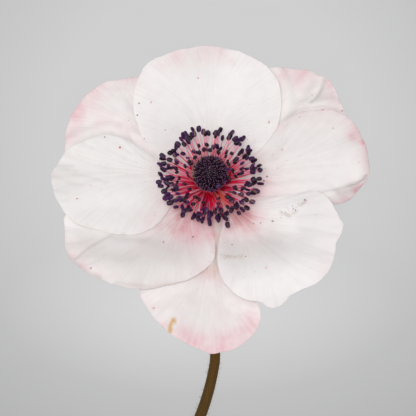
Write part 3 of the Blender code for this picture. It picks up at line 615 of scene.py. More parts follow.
def tucked_under(x, y, height, over):
    """The height raised to lie against a petal in front, and kept below its points and clear beside them."""
    ceiling = np.full(height.shape, np.inf)
    near = np.zeros(height.shape)
    near_height = np.zeros(height.shape)
    for px, py, pz in over:
        away = np.hypot(x - px, y - py)
        beside = np.clip(away - TUCK_REACH, 0, None)
        ceiling = np.minimum(ceiling, pz - TUCK_DEPTH + TUCK_SLOPE * beside + TUCK_CURVE * beside**2)
        weight = bell(away, REST_REACH)
        near += weight
        near_height += weight * pz
    gap = near_height / np.maximum(near, 1e-9) - TUCK_DEPTH - height
    raised = height + REST_SHARE * np.clip(gap, 0, REST_MOST) * (1 - np.exp(-near))
    lowered = (raised + ceiling - np.hypot(raised - ceiling, TUCK_SOFTNESS)) / 2
    share = np.clip((np.hypot(x, y) - TUCK_FROM) / TUCK_FADE, 0, 1)
    return height + share * (lowered - height)


def wobbly(rim, seed):
    """The rim with small in-and-out waves, as a real petal's margin has."""
    outward = unit(np.gradient(rim, axis=0)[:, ::-1] * (-1, 1))
    run = run_along(rim)
    amount = noise_over(run / 4.5, 0.0, seed + 11) + 0.4 * noise_over(run / 1.7, 0.0, seed + 13)
    fade = np.clip(np.minimum(run, run[-1] - run) / 12, 0, 1)
    return rim + outward * (RIM_WOBBLE * amount * fade)[:, None]


def petal_seed(name):
    return SEED_STEP * list(PETALS).index(name)


@functools.cache
def petal_grid(name):
    """Points of a petal's middle surface, their shares of the way out and across, and their mm to the rim."""
    petal, seed = PETALS[name], petal_seed(name)
    rim = wobbly(evenly_along(spline_through(petal["rim"], 12), COLUMNS + 1), seed)
    across = np.linspace(-1, 1, COLUMNS + 1)
    axis = math.radians(petal["foot"])
    foot = from_axis(FOOT_RADIUS, axis - across * FOOT_HALF_ANGLE, 0)[:, :2]
    along = np.array([math.cos(axis), math.sin(axis)])
    sideways = np.array([-along[1], along[0]])
    length, spread = (rim - foot) @ along, (rim - foot) @ sideways
    out = 1 - (1 - np.linspace(0, 1, ROWS + 1)[:, None]) ** ROW_CROWDING
    x, y = (foot[:, k] + out * length * along[k] + out**SPREAD_POWER * spread * sideways[k] for k in (0, 1))
    reach = np.clip(np.hypot(length, spread) / FULL_REACH, 0, 1)
    height = petal_height(petal, x, y, out, across, reach)
    height = height + fine_height(out, across, reach, petal["pleats"], seed)
    for other in petal["under"]:
        over = petal_grid(other)[0]
        height = tucked_under(x, y, height, np.concatenate([over[:-1:3, ::3].reshape(-1, 3), over[-1]]))
    to_rim = (1 - out) * np.hypot(length, spread)
    return np.stack([x, y, height], axis=-1), out + 0 * x, across + 0 * x, to_rim


def petal_colours(name):
    """How pink, how much painted shade and how brown a petal is at each point of its grid."""
    petal, seed = PETALS[name], petal_seed(name)
    points, out, across, to_rim = petal_grid(name)
    x, y = points[..., 0], points[..., 1]
    body, base, rim = petal["pink"]
    patchy = 0.65 + 0.5 * noise_over(across * 3.1, out * 3, seed + 17)
    margin = 0.55 * bell(to_rim, MARGIN_FADE) + 0.6 * bell(to_rim, MARGIN_WIDTH)
    pink = body * patchy + rim * np.clip(out * 2 - 0.8, 0, 1) * patchy * margin
    pink += base * np.clip(1 - (np.hypot(x, y) - BASE_FROM) / BASE_FADE, 0, 1) ** 1.5
    pink += patches_over(x, y, petal["patches"])
    # Painted shade from the shade patches and the creases
    shade = patches_over(x, y, petal.get("shade", [])) + lines_over(x, y, petal.get("creases", []))
    tan = lines_over(x, y, petal.get("spots", []))
    return {"pink": np.clip(pink, 0, 1), "shade": np.clip(shade, 0, 1), "tan": np.clip(tan, 0, 1)}


def add_petal(name, material):
    points, out, across, to_rim = petal_grid(name)
    normal = np.cross(np.gradient(points, axis=1), np.gradient(points, axis=0))
    normal /= np.maximum(np.linalg.norm(normal, axis=2), 1e-9)[..., None]
    normal *= np.where(normal[..., 2:] < 0, -1, 1)
    thin = np.maximum(np.abs(across) ** 12 * np.clip(out * 3, 0, 1), np.exp(-to_rim / RIM_THINNING))
    thickness = BLADE_THICK + (RIM_THICK - BLADE_THICK) * thin
    values = {"out": out, "across": across + ACROSS_STEP * list(PETALS).index(name), **petal_colours(name)}
    shape = Shape("back", *values)
    shape.add(*blade_parts(points, thickness[..., None] / 2 * normal), back=np.repeat([0.0, 1.0], out.size),
              **{key: np.tile(value.ravel(), 2) for key, value in values.items()})
    shape.place(name + "_blade", material, "petal", name, FACE)


# Stamens and pistil

def add_anther(anthers, at, way, turn, size, tone):
    """An oval anther with a seam down each side, which parts it into two lobes."""
    angle = np.arange(ANTHER_SIDES) * math.tau / ANTHER_SIDES
    seam = bell(np.cos(angle), SEAM_WIDTH)
    verts = []
    for t in np.linspace(-1, 1, ANTHER_RINGS + 2)[1:-1]:
        wide = (1 - abs(t) ** 2.4) ** 0.5
        x = ANTHER_WIDTH / 2 * wide * np.cos(angle)
        y = ANTHER_DEPTH / 2 * wide * np.sin(angle) * (1 - SEAM_DEPTH * seam)
        verts.extend(np.stack([x, y, np.full_like(x, t * ANTHER_LENGTH / 2)], axis=1))
    verts.extend((0, 0, end * ANTHER_LENGTH) for end in (-0.47, 0.47))
    aim = Vector(way).to_track_quat("Z", "X").to_matrix().to_4x4()
    matrix = Matrix.Translation(at) @ aim @ Matrix.Rotation(turn, 4, "Z") @ Matrix.Scale(size, 4)
    anthers.add(transformed(verts, matrix), ring_faces(ANTHER_RINGS, ANTHER_SIDES), tone=tone,
                seam=np.concatenate([np.tile(seam, ANTHER_RINGS), [0.6, 0.6]]))


def add_filament(filaments, path, bearing, tone, salmon=0.0, slimness=1.0):
    """A filament along a path of (distance from the axis, height) at a bearing; gives its points back."""
    points = from_axis(path[:, 0], bearing, path[:, 1])
    radii = np.linspace(FILAMENT_ROOT, FILAMENT_TIP, FILAMENT_POINTS) * slimness
    along = ringed(np.linspace(0, 1, FILAMENT_POINTS), FILAMENT_SIDES)
    filaments.add(*tube_parts(points, radii, FILAMENT_SIDES), along=along, tone=tone, salmon=salmon)
    return points


def add_stray_stamen(filaments, anthers):
    """One long stamen whose anther stands clear of the ring, below it and to the right."""
    at = CENTRE.inverted() @ FACE @ Vector(STRAY_ANTHER)
    reach = math.hypot(at.x, at.y)
    path = bezier((3.9, 1.1), (0.62 * reach, 0.62 * at.z + 1.2), (reach, at.z), FILAMENT_POINTS)
    add_filament(filaments, path, math.atan2(at.y, at.x), 0.3)
    add_anther(anthers, at, (0.15, -1, 0.2), 1.4, 1.05, 0.4)


def add_leaning_stamens(filaments, anthers):
    """Short stamens of the inmost ring that lean in over the dome's edge."""
    draw = random.Random(STAMEN_SEED + 1)
    for degrees, reach, height in LEANING_STAMENS:
        path = bezier((3.4, 1.7), (7.0, 6.4), (reach, height), FILAMENT_POINTS)
        points = add_filament(filaments, path, math.radians(degrees), 0.3 * draw.random())
        way = Vector((draw.uniform(-0.6, 0.6), draw.uniform(-0.6, 0.6), 0.5)).normalized()
        at = Vector(points[-1]) + Vector((0, 0, 0.3))
        add_anther(anthers, at, way, draw.uniform(0, math.pi), draw.uniform(0.75, 0.95), draw.random())


def add_stamens(filament_material, anther_material):
    """Every filament, from the disc out to its anther, and every anther."""
    draw = random.Random(STAMEN_SEED)
    filaments, anthers = Shape("along", "tone", "salmon"), Shape("seam", "tone")
    add_stray_stamen(filaments, anthers)
    add_leaning_stamens(filaments, anthers)
    for whorl, (count, root, elbow, tip) in enumerate(STAMEN_WHORLS):
        for number in range(count):
            bearing = (number + WHORL_TURN * whorl + draw.uniform(-0.45, 0.45)) * math.tau / count
            bearing += CLUMPING * math.sin(CLUMPS * bearing + 2.1 * whorl)
            if whorl < 2:
                bearing -= CROWDING_BELOW * math.cos(bearing) + CROWDING_ASIDE * math.sin(2 * bearing)
            swing = draw.uniform(-SWING_SPREAD, SWING_SPREAD)
            reach = draw.uniform(-REACH_SPREAD, REACH_SPREAD)
            lift = draw.uniform(-LIFT_SPREAD, LIFT_SPREAD)
            bow = draw.uniform(-BOW_SPREAD, BOW_SPREAD)
            upward = math.sin(bearing)
            tip_reach = tip[0] + reach + TOP_SHIFT.get(whorl, 0) * max(upward, 0) ** 4
            tip_reach += BELOW_SHIFT.get(whorl, 0) * max(-upward, 0) ** 2
            tip_reach *= 1 - UPRIGHT_SHORTENING * upward**2
            path = bezier(root, (elbow[0], elbow[1] + bow), (tip_reach, tip[1] + lift), FILAMENT_POINTS)
            turns = bearing + swing * np.linspace(0, 1, FILAMENT_POINTS) ** 2
            drawn = draw.random()
            tone = (0.55 + 0.09 * upward) * drawn + 0.18 + 0.18 * upward
            tone += PALE_STRANDS_BY if drawn > PALE_STRANDS_FROM else 0.0
            salmon = 0.9 * draw.random() if abs(bearing - SALMON_BEARING) < SALMON_HALF_WIDTH else 0.0
            slimness = 1 - SLIMMING_ABOVE * max(upward, 0)
            points = add_filament(filaments, path, turns, tone, salmon, slimness)
            lean = Vector(any_way(draw)) * ANTHER_LEAN
            way = (Vector(points[-1] - points[-2]).normalized() + lean).normalized()
            size = draw.uniform(*ANTHER_SIZES) * (1 - 0.06 * whorl)
            at = Vector(points[-1]) + ANTHER_HOLD * ANTHER_LENGTH * size * way
            turn, drawn = draw.uniform(0, math.pi), draw.random()
            tone = 1.0 if drawn > OPEN_ANTHERS_FROM else drawn * (1 - 0.2 * whorl)
            add_anther(anthers, at, way, turn, size, tone)
    disc = Shape("along", "tone", "salmon")
    disc.add(*turned_through(DISC_PROFILE, 4), along=0.12, tone=0.5, salmon=0.0)
    filaments.place("filaments", filament_material, "stamens", "stamens", CENTRE)
    anthers.place("anthers", anther_material, "stamens", "stamens", CENTRE)
    disc.place("stamen_disc", filament_material, "stamens", "stamens", CENTRE)


def add_pistil(material):
    """The dome's core, and its styles set over it at the golden angle with an even share of area each."""
    profile = spline_through(PISTIL_PROFILE, 6)
    inner = [(r - CORE_SHRINK, z - 0.02) for r, z in profile if r > CORE_SHRINK]
    inner = [(0.0, profile[0][1]), *inner, (0.0, profile[-1][1] - 0.02)]
    core, styles = Shape("tip", "tan"), Shape("tip", "tan")
    core.add(*turned_parts(inner, 64), tip=0.0, tan=0.0)
    core.place("pistil_core", material, "pistil", "pistil", CENTRE)
    draw = random.Random(STYLE_SEED)
    areas = np.linalg.norm(np.diff(profile, axis=0), axis=1) * (profile[1:, 0] + profile[:-1, 0]) / 2
    run = np.concatenate([[0], np.cumsum(areas)]) / areas.sum()

    def on_profile(place):
        return np.array([np.interp(place, run, column) for column in profile.T])

    up = np.array([0, 0, 1])
    for number in range(STYLES):
        place = (number + 0.5 + draw.uniform(-0.5, 0.5)) / STYLES
        radius, height = on_profile(place)
        run_out, run_up = unit(on_profile(place + 0.01) - on_profile(place - 0.01))
        bearing = number * GOLDEN_ANGLE + draw.uniform(-0.55, 0.55) * STYLE_SPACING / max(radius, 0.5)
        outward = from_axis(1.0, bearing, 0)
        way = unit(outward * run_up + up * (0.8 - run_out) + any_way(draw, STYLE_SPREAD))
        start = outward * (radius - 0.25) + up * height
        length = STYLE_LENGTH * draw.uniform(0.8, 1.25)
        bend = (0.18 * up - 0.12 * outward) * length
        points = [start, start + way * 0.45 * length, start + way * 0.8 * length + bend * 0.4,
                  start + way * length + bend]
        # Styles on the upper left side, between these heights, get pale tan tips: a painted highlight where
        # they catch the light side-on. A few others anywhere are pale for their own colour.
        facing = math.cos(bearing - HIGHLIT_STYLES_BEARING)
        tan = 1.0 if facing > 0.3 and 6.5 < height < 11.0 and draw.random() < 0.5 else 0.0
        tan = max(tan, 0.7 if draw.random() < 0.03 else 0.0)
        styles.add(*tube_parts(points, STYLE_RADII, STYLE_SIDES), tan=tan,
                   tip=ringed([0, 0.3, 0.8, 1.0], STYLE_SIDES))
    styles.place("pistil_styles", material, "pistil", "pistil", CENTRE)


# Stem

def neck_points():
    """The neck's arc in the row frame, from the receptacle down to where the stem first lies flat."""
    start = CENTRE @ Vector((0, 0, NECK_START))
    turn = math.pi / 2 - FACE_LEAN - CENTRE_LEAN
    lying = NECK_RADIUS * STEM_FLAT
    bend = (start.z - lying) / (1 - math.cos(turn))
    back, up = start.y - bend * math.sin(turn), lying + bend
    return [(start.x, back + bend * math.sin(angle), up - bend * math.cos(angle))
            for angle in np.linspace(turn, 0, NECK_POINTS)]


def lying_points(first):
    """The lying stem in the row frame, with its radius at each point growing towards the cut end."""
    route = [first[:2], *((HEAD_AT.x + x, HEAD_AT.y + y) for x, y in STEM_ROUTE)]
    curve = spline_through(route, 12)
    even = evenly_along(curve, round(run_along(curve)[-1] / ROUTE_STEP))
    ends = [HEAD_AT.y + STEM_ROUTE[-1][1], HEAD_AT.y + TAPER_FROM]
    radii = np.interp(even[:, 1], ends, [BUTT_RADIUS, NECK_RADIUS])
    return [(x, y, radius * STEM_FLAT) for (x, y), radius in zip(even, radii)], list(radii)


def add_stem(material, hair_material):
    """Neck and lying stem with fine ribs, the receptacle, and hairs; gives the lying stem's line back."""
    neck = neck_points()
    lying, lying_radii = lying_points(neck[-1])
    points = np.array(neck[:-1] + lying)
    radii = np.array([NECK_RADIUS] * (len(neck) - 1) + lying_radii) * STEM_FLAT
    angle = np.arange(FINE_STEM_SIDES) * math.tau / FINE_STEM_SIDES
    run = run_along(points)
    wave = 0.5 + 0.5 * np.cos(STEM_RIBS * angle + 0.5 * np.sin(run[:, None] / 17))
    lumps = noise_over(run[:, None] / 6, angle * 0.8, 71.0)
    ribs = 1 - STEM_RIB_HEIGHT * wave - 0.02 * np.abs(lumps)
    verts, faces = tube_parts(points, radii, FINE_STEM_SIDES, ribs)
    verts[-1] = points[-1] + (points[-2] - points[-1]) * 0.45
    stem, receptacle = Shape("along", "rib", "cut"), Shape("along", "rib", "cut")
    stem.add(verts, faces, along=ringed(run / run[-1], FINE_STEM_SIDES),
             rib=np.concatenate([wave.ravel(), [0, 0]]), cut=[0.0] * (len(verts) - 1) + [1.0])
    stem.place("stem_skin", material, "stem", "stem")
    receptacle.add(*turned_through(RECEPTACLE_PROFILE, 5), along=0.0, rib=0.3, cut=0.0)
    receptacle.place("receptacle", material, "stem", "stem", CENTRE)
    add_hairs(points, radii, hair_material)
    return lying, lying_radii


def add_hairs(points, radii, material):
    """Short soft hairs that stand off the stem, none of them through the surface that it lies on."""
    draw = random.Random(HAIR_SEED)
    ways = unit(np.gradient(points, axis=0))
    hairs = Shape("along")
    made = 0
    while made < HAIRS:
        place = draw.uniform(1, len(points) - 2)
        index = int(place)
        point = points[index] + (points[index + 1] - points[index]) * (place - index)
        side = np.cross(ways[index], any_way(draw))
        if np.linalg.norm(side) < 0.1:
            continue
        side = unit(side)
        length = draw.uniform(*HAIR_LENGTHS)
        lean = ways[index] * draw.uniform(-0.5, 0.2) + np.array([0, 0, draw.uniform(-0.1, 0.25)])
        root = point + side * radii[index] * 0.93
        tip = root + (side + lean) * length
        if tip[2] < HAIR_CLEARANCE:
            continue
        middle = root + side * length * 0.55 + lean * length * 0.3
        hairs.add(*tube_parts([root, middle, tip], HAIR_RADII, 3), along=place / len(points))
        made += 1
    hairs.place("stem_hairs", material, "stem", "stem")


# Ruff

def swung(along, across, degrees):
    """The two directions turned towards the second one."""
    turn = math.radians(degrees)
    return along * math.cos(turn) + across * math.sin(turn), across * math.cos(turn) - along * math.sin(turn)


def add_leaf(leaves, draw, base, along, across, arch, length, width, start_width, teeth, brown=1.0):
    """A pointed leaf segment with toothed edges, hollowed along its rib and arched."""
    base, along, across, arch = (np.array(vector) for vector in (base, along, across, arch))
    normal = unit(np.cross(along, across))
    share = np.linspace(0, 1, 5 * teeth + 4)
    tooth = 1 - 0.38 * ((share * teeth) % 1.0) * np.clip(share * 3, 0, 1)
    wide = width * np.sin(math.pi * np.clip(0.22 + 0.77 * share, 0, 1)) * tooth
    wide = (wide + start_width * (1 - share) ** 2)[:, None, None]
    twist, sag = draw.uniform(-0.25, 0.25), draw.uniform(-0.03, 0.03)
    s, part = share[:, None, None], np.array(LEAF_PARTS)[:, None]
    grid = base + length * (along * s + (arch + sag * normal) * s**2)
    grid = grid + wide / 2 * part * (across * np.cos(twist * s) + normal * np.sin(twist * s))
    grid = grid + 0.22 * wide * np.abs(part) ** 1.3 * normal
    grid[..., 2] = np.maximum(grid[..., 2], LEAF_THICK / 2 + SURFACE_CLEARANCE)
    thickness = np.full(grid.shape[:2], LEAF_THICK)
    thickness[:, [0, -1]] = LEAF_EDGE_THICK
    thickness[:, 3] = LEAF_THICK * 1.5
    leaves.add(*blade_parts(grid, thickness[..., None] / 2 * normal), tone=draw.random(),
               rib=np.tile(np.abs(LEAF_PARTS), 2 * len(share)),
               along=brown * np.tile(np.repeat(share, len(LEAF_PARTS)), 2))


def add_segment(leaves, draw, base, along, across, arch, length, width, start_width):
    """A leaf segment with two smaller ones on either side of it."""
    add_leaf(leaves, draw, base, along, across, arch, length, width, start_width, 3)
    for place, side, size in ((0.30, 1, 0.42), (0.38, -1, 0.42), (0.55, 1, 0.34), (0.62, -1, 0.34)):
        start = base + along * (length * place) + arch * (length * place**2) + across * (0.2 * side)
        small_along, small_across = swung(along, across, 34 * side)
        small_along = (small_along + arch * place).normalized()
        add_leaf(leaves, draw, start, small_along, small_across.normalized(), arch * 0.6, length * size,
                 width * 0.62, 0.5, 2)


def add_bract(leaves, draw, base, along, across, arch):
    for lobe in LOBE_ANGLES:
        lobe_along, lobe_across = swung(along.normalized(), across.normalized(), lobe)
        add_leaf(leaves, draw, base, lobe_along, lobe_across, arch, LOBE_STALK + 1, 1.5, 1.1, 1, brown=0.3)
        fork = base + (lobe_along + arch) * LOBE_STALK
        for tip, length in zip(TIP_ANGLES, TIP_LENGTHS):
            tip_along, tip_across = swung(lobe_along, lobe_across, tip)
            tip_along = (tip_along + arch).normalized()
            add_segment(leaves, draw, fork - tip_along, tip_along, tip_across, arch, length, 2.3, 0.8)


def add_collar(leaves, here, aim, inner):
    """A sheath round the upper part of the stem, open underneath where the stem rests."""
    angles = np.linspace(*COLLAR_ANGLES, 60)
    heights = np.linspace(-COLLAR_LENGTH / 2, COLLAR_LENGTH / 2, 9)[:, None]
    radius = inner + COLLAR_WALL / 2 + 0.08 * np.cos(14 * angles) + 0.1 * np.cos(2.2 * heights)
    turn = np.array(aim).T
    grid = np.array(here) + from_axis(radius, angles, heights) @ turn
    outward = from_axis(1.0, angles, 0 * heights) @ turn
    verts, faces = blade_parts(grid, COLLAR_WALL * 0.42 * outward)
    verts[:, 2] = np.maximum(verts[:, 2], SURFACE_CLEARANCE)
    leaves.add(verts, faces, rib=0.5, along=0.0, tone=0.4)


def add_ruff(lying, radii, material):
    """The ruff: a short collar round the stem and three bracts that are cut into toothed segments."""
    draw = random.Random(RUFF_SEED)
    here_index = min(range(len(lying)), key=lambda i: abs(lying[i][1] - HEAD_AT.y - RUFF_AT))
    here = Vector(lying[here_index])
    aim = (Vector(lying[here_index - 3]) - here).normalized().to_track_quat("Z", "Y").to_matrix()
    inner = radii[here_index] + GAP
    leaves = Shape("rib", "along", "tone")
    add_collar(leaves, here, aim, inner)
    for along, across, arch in BRACTS:
        outward = aim @ Vector((along.x, along.y, 0)).normalized()
        base = here + outward * (inner + 0.8 * COLLAR_WALL)
        add_bract(leaves, draw, base, aim @ along, aim @ across, aim @ arch)
    leaves.place("ruff_leaves", material, "leaf", "ruff")


# Pollen

def petal_tree(name):
    points = petal_grid(name)[0].reshape(-1, 3)
    return BVHTree.FromPolygons([Vector(point) for point in points], grid_faces(ROWS, COLUMNS))


def surface_under(trees, x, y):
    """Where a line straight into the flower's face first meets a petal, and the normal there."""
    best = None
    for tree in trees:
        at, normal, _, _ = tree.ray_cast(Vector((x, y, 60)), Vector((0, 0, -1)))
        if at and (best is None or at.z > best[0].z):
            best = at, normal if normal.z > 0 else -normal
    return best


def pollen_places(draw):
    """The grains, fine dust around the stamens, and specks smeared over the lower right petal."""
    places = list(GRAINS)
    for _ in range(DUST):
        bearing = draw.uniform(0, math.tau)
        away = 13 + abs(draw.gauss(0, 8))
        places.append((away * math.cos(bearing), away * math.sin(bearing) - 1, draw.uniform(0.05, 0.12),
                       0.4 * draw.random()))
    for _ in range(SMEARED):
        share = draw.random()
        places.append((20 + 7.2 * share, -9.4 + 3.8 * share + draw.gauss(0, 0.4), draw.uniform(0.07, 0.15),
                       0.1))
        places.append((3 + 6 * share, -21 + draw.gauss(0, 0.35), draw.uniform(0.06, 0.12), 0.1))
    return places


def add_pollen(material):
    """Fallen pollen, as small lumps that lie on the petals."""
    draw = random.Random(DUST_SEED)
    trees = [petal_tree(name) for name in PETALS]
    grains = Shape("tone", "pink")
    for x, y, size, pink in pollen_places(draw):
        found = surface_under(trees, x, y)
        if not found:
            continue
        at, normal = found
        aim = normal.to_track_quat("Z", "X").to_matrix().to_4x4()
        stretch = Matrix.Diagonal((size * draw.uniform(0.8, 1.5), size, size * 0.7, 1))
        place = at + normal * (BLADE_THICK / 2 + size * 0.3)
        matrix = Matrix.Translation(place) @ aim @ Matrix.Rotation(draw.uniform(0, 6.28), 4, "Z") @ stretch
        grains.add(transformed(GRAIN_CORNERS, matrix), GRAIN_FACES, tone=draw.random(), pink=pink)
    grains.place("pollen_grains", material, "stamens", None, FACE)


# Materials

class Nodes:
    """A material's node tree with short ways to add and join nodes."""

    def __init__(self, name):
        self.material = bpy.data.materials.new(name)
        self.material.use_nodes = True
        self.tree = self.material.node_tree
        self.shader = self.tree.nodes["Principled BSDF"]
        self.output = self.tree.nodes["Material Output"]

    def put(self, socket, value):
        if isinstance(value, bpy.types.NodeSocket):
            self.tree.links.new(value, socket)
        else:
            socket.default_value = (*value, 1) if socket.type == "RGBA" else value

    def add(self, kind, output, inputs, **settings):
        """Adds a node with its settings and inputs, and gives one of its outputs back."""
        node = self.tree.nodes.new("ShaderNode" + kind)
        for name, value in settings.items():
            setattr(node, name, value)
        for key, value in inputs.items():
            self.put(node.inputs[key], value)
        return node.outputs[output]

    def value(self, name):
        return self.add("Attribute", "Fac", {}, attribute_name=name)

    def plus(self, a, b):
        return self.add("Math", 0, {0: a, 1: b}, operation="ADD")

    def times(self, a, b, clamp=False):
        return self.add("Math", 0, {0: a, 1: b}, operation="MULTIPLY", use_clamp=clamp)

    def place(self, x, y, z=0.0):
        return self.add("CombineXYZ", 0, {0: x, 1: y, 2: z})

    def object_place(self, scale):
        return self.add("Mapping", 0, {"Vector": self.add("TexCoord", "Object", {}), "Scale": scale})

    def distance(self, scale, centre):
        return self.add("VectorMath", "Value", {0: self.object_place(scale), 1: centre}, operation="DISTANCE")

    def noise(self, place, detail=2.0, roughness=0.5):
        return self.add("TexNoise", "Fac", {"Vector": place, "Scale": 1.0, "Detail": detail,
                                            "Roughness": roughness})

    def grain(self, scale, detail=2.0, roughness=0.5):
        return self.noise(self.object_place((scale,) * 3), detail, roughness)

    def span(self, value, low, high, to_low=0.0, to_high=1.0):
        return self.add("MapRange", "Result", {"Value": value, 1: low, 2: high, 3: to_low, 4: to_high})

    def mix(self, share, first, second):
        return self.add("Mix", 2, {0: share, 6: first, 7: second}, data_type="RGBA")

    def tint(self, colour, shade, value, *ends):
        """The colour with more of a shade in it as a value passes through a span."""
        return self.mix(self.span(value, *ends), colour, shade)

    def ramp(self, value, *stops):
        colour = self.add("ValToRGB", "Color", {"Fac": value})
        elements = colour.node.color_ramp.elements
        for element, (place, stop) in zip(elements, (stops[0], stops[-1])):
            element.position = place
            element.color = (*stop, 1)
        for place, stop in stops[1:-1]:
            elements.new(place).color = (*stop, 1)
        return colour

    def bump(self, height, strength, distance):
        normal = self.add("Bump", "Normal", {"Strength": strength, "Distance": distance, "Height": height})
        self.put(self.shader.inputs["Normal"], normal)

    def surface(self, colour, roughness, **settings):
        settings = {"Base_Color": colour, "Roughness": roughness, **settings}
        for name, value in settings.items():
            self.put(self.shader.inputs[name.replace("_", " ")], value)
        return self.material

    def grained(self, colour, grain, bump, roughness, specular):
        """The surface with its relief and roughness from the grain."""
        self.bump(grain, *bump)
        return self.surface(colour, self.span(grain, 0.3, 0.7, *roughness), Specular_IOR_Level=specular)


PETAL_WHITE = (0.90, 0.885, 0.876)
PETAL_PINK = (0.84, 0.42, 0.48)
PETAL_BASE_PINK = (0.70, 0.31, 0.33)
PETAL_GREY = (0.52, 0.47, 0.49)
PETAL_BACK = (0.72, 0.60, 0.56)
# The grey-mauve that painted shade darkens the petals towards
PETAL_PAINTED_SHADE = (0.60, 0.556, 0.546)
PETAL_TAN = (0.74, 0.50, 0.28)


def petal_material():
    nodes = Nodes("petal")
    across, out, back = nodes.value("across"), nodes.value("out"), nodes.value("back")
    broad = nodes.noise(nodes.place(nodes.times(across, 16), nodes.times(out, 1.6)))
    fine = nodes.noise(nodes.place(nodes.times(across, 58), nodes.times(out, 2.4), 4.0), 3.0, 0.6)
    mottle = nodes.grain(420, 3.0)
    blotch = nodes.grain(210, 3.0)
    streaks = nodes.plus(nodes.times(broad, 0.9), nodes.times(fine, 1.1))
    streaky = nodes.times(nodes.span(streaks, 0.75, 1.25, -0.5, 0.5), nodes.span(out, 0.2, 0.6, 1.5, 0.4))
    pinkness = nodes.times(nodes.value("pink"), nodes.plus(streaky, 0.8))
    pinkness = nodes.times(pinkness, nodes.span(blotch, 0.35, 0.65, 0.6, 1.35), clamp=True)
    rosy = nodes.mix(nodes.span(out, 0.3, 0.65), PETAL_BASE_PINK, PETAL_PINK)
    colour = nodes.mix(pinkness, PETAL_WHITE, rosy)
    grey = nodes.times(nodes.span(fine, 0.5, 0.72), nodes.span(out, 0.02, 0.5, 0.5, 0.1))
    colour = nodes.mix(grey, colour, PETAL_GREY)
    colour = nodes.tint(colour, PETAL_GREY, mottle, 0.4, 0.7, 0.0, 0.05)
    # Painted shade: valleys, creases and strips beside overlapping margins darkened towards grey-mauve
    colour = nodes.mix(nodes.value("shade"), colour, PETAL_PAINTED_SHADE)
    brown = nodes.times(nodes.value("tan"), nodes.span(mottle, 0.38, 0.56, 0.45, 1.3), clamp=True)
    colour = nodes.mix(brown, colour, PETAL_TAN)
    colour = nodes.mix(nodes.times(back, nodes.span(out, 0.0, 0.75, 0.55, 0.0)), colour, PETAL_BACK)
    nodes.bump(nodes.plus(fine, nodes.times(mottle, 0.4)), 0.35, 0.00006)
    nodes.surface(colour, nodes.span(mottle, 0.3, 0.7, 0.52, 0.66), Specular_IOR_Level=0.3, Sheen_Weight=0.08)
    through = nodes.add("BsdfTranslucent", 0, {"Color": colour})
    both = nodes.add("MixShader", 0, {0: THROUGH_SHARE, 1: nodes.shader.outputs[0], 2: through})
    nodes.put(nodes.output.inputs["Surface"], both)
    return nodes.material


def filament_material():
    nodes = Nodes("filament")
    along, tone = nodes.value("along"), nodes.value("tone")
    grain = nodes.grain(2600)
    crimson = nodes.ramp(along, (0.0, (0.50, 0.001, 0.014)), (0.25, (0.84, 0.002, 0.038)),
                         (0.6, (0.76, 0.012, 0.105)), (1.0, (0.74, 0.09, 0.25)))
    pale = nodes.ramp(along, (0.0, (0.90, 0.07, 0.08)), (0.3, (0.94, 0.28, 0.36)), (1.0, (0.95, 0.52, 0.68)))
    colour = nodes.mix(nodes.span(tone, 0.28, 0.72), crimson, pale)
    colour = nodes.tint(colour, (0.22, 0.001, 0.014), tone, 0.0, 0.16, 0.6, 0.0)
    orange = nodes.ramp(along, (0.0, (0.90, 0.10, 0.03)), (0.35, (0.95, 0.36, 0.22)),
                        (1.0, (0.90, 0.20, 0.28)))
    colour = nodes.mix(nodes.value("salmon"), colour, orange)
    colour = nodes.tint(colour, (0.90, 0.30, 0.34), grain, 0.35, 0.75, 0.0, 0.04)
    return nodes.grained(colour, grain, (0.2, 0.00003), (0.5, 0.65), 0.02)


def anther_material():
    nodes = Nodes("anther")
    seam, tone = nodes.value("seam"), nodes.value("tone")
    grain = nodes.grain(3800, 4.0, 0.7)
    violet = nodes.mix(tone, (0.010, 0.002, 0.008), (0.070, 0.017, 0.095))
    olive = nodes.mix(nodes.span(tone, 0.82, 0.86), (0.085, 0.075, 0.078), (0.26, 0.18, 0.07))
    colour = nodes.mix(nodes.span(seam, 0.1, 0.9, 0.0, 0.75), violet, olive)
    colour = nodes.tint(colour, (0.085, 0.04, 0.13), grain, 0.5, 0.75, 0.0, 0.25)
    return nodes.grained(colour, grain, (0.5, 0.00008), (0.38, 0.58), 0.07)


def pistil_material():
    nodes = Nodes("pistil")
    tip = nodes.value("tip")
    grain = nodes.grain(3000, 3.0)
    dark = nodes.ramp(tip, (0.0, (0.003, 0.001, 0.003)), (0.6, (0.024, 0.008, 0.022)),
                      (1.0, (0.28, 0.13, 0.25)))
    # pale holds the tan of the painted highlight on the upper left styles, and of the few pale styles
    pale = nodes.ramp(tip, (0.0, (0.02, 0.01, 0.012)), (1.0, (0.48, 0.30, 0.24)))
    colour = nodes.mix(nodes.value("tan"), dark, pale)
    colour = nodes.tint(colour, (0.09, 0.045, 0.08), grain, 0.5, 0.8, 0.0, 0.2)
    return nodes.grained(colour, grain, (0.3, 0.00005), (0.45, 0.65), 0.13)


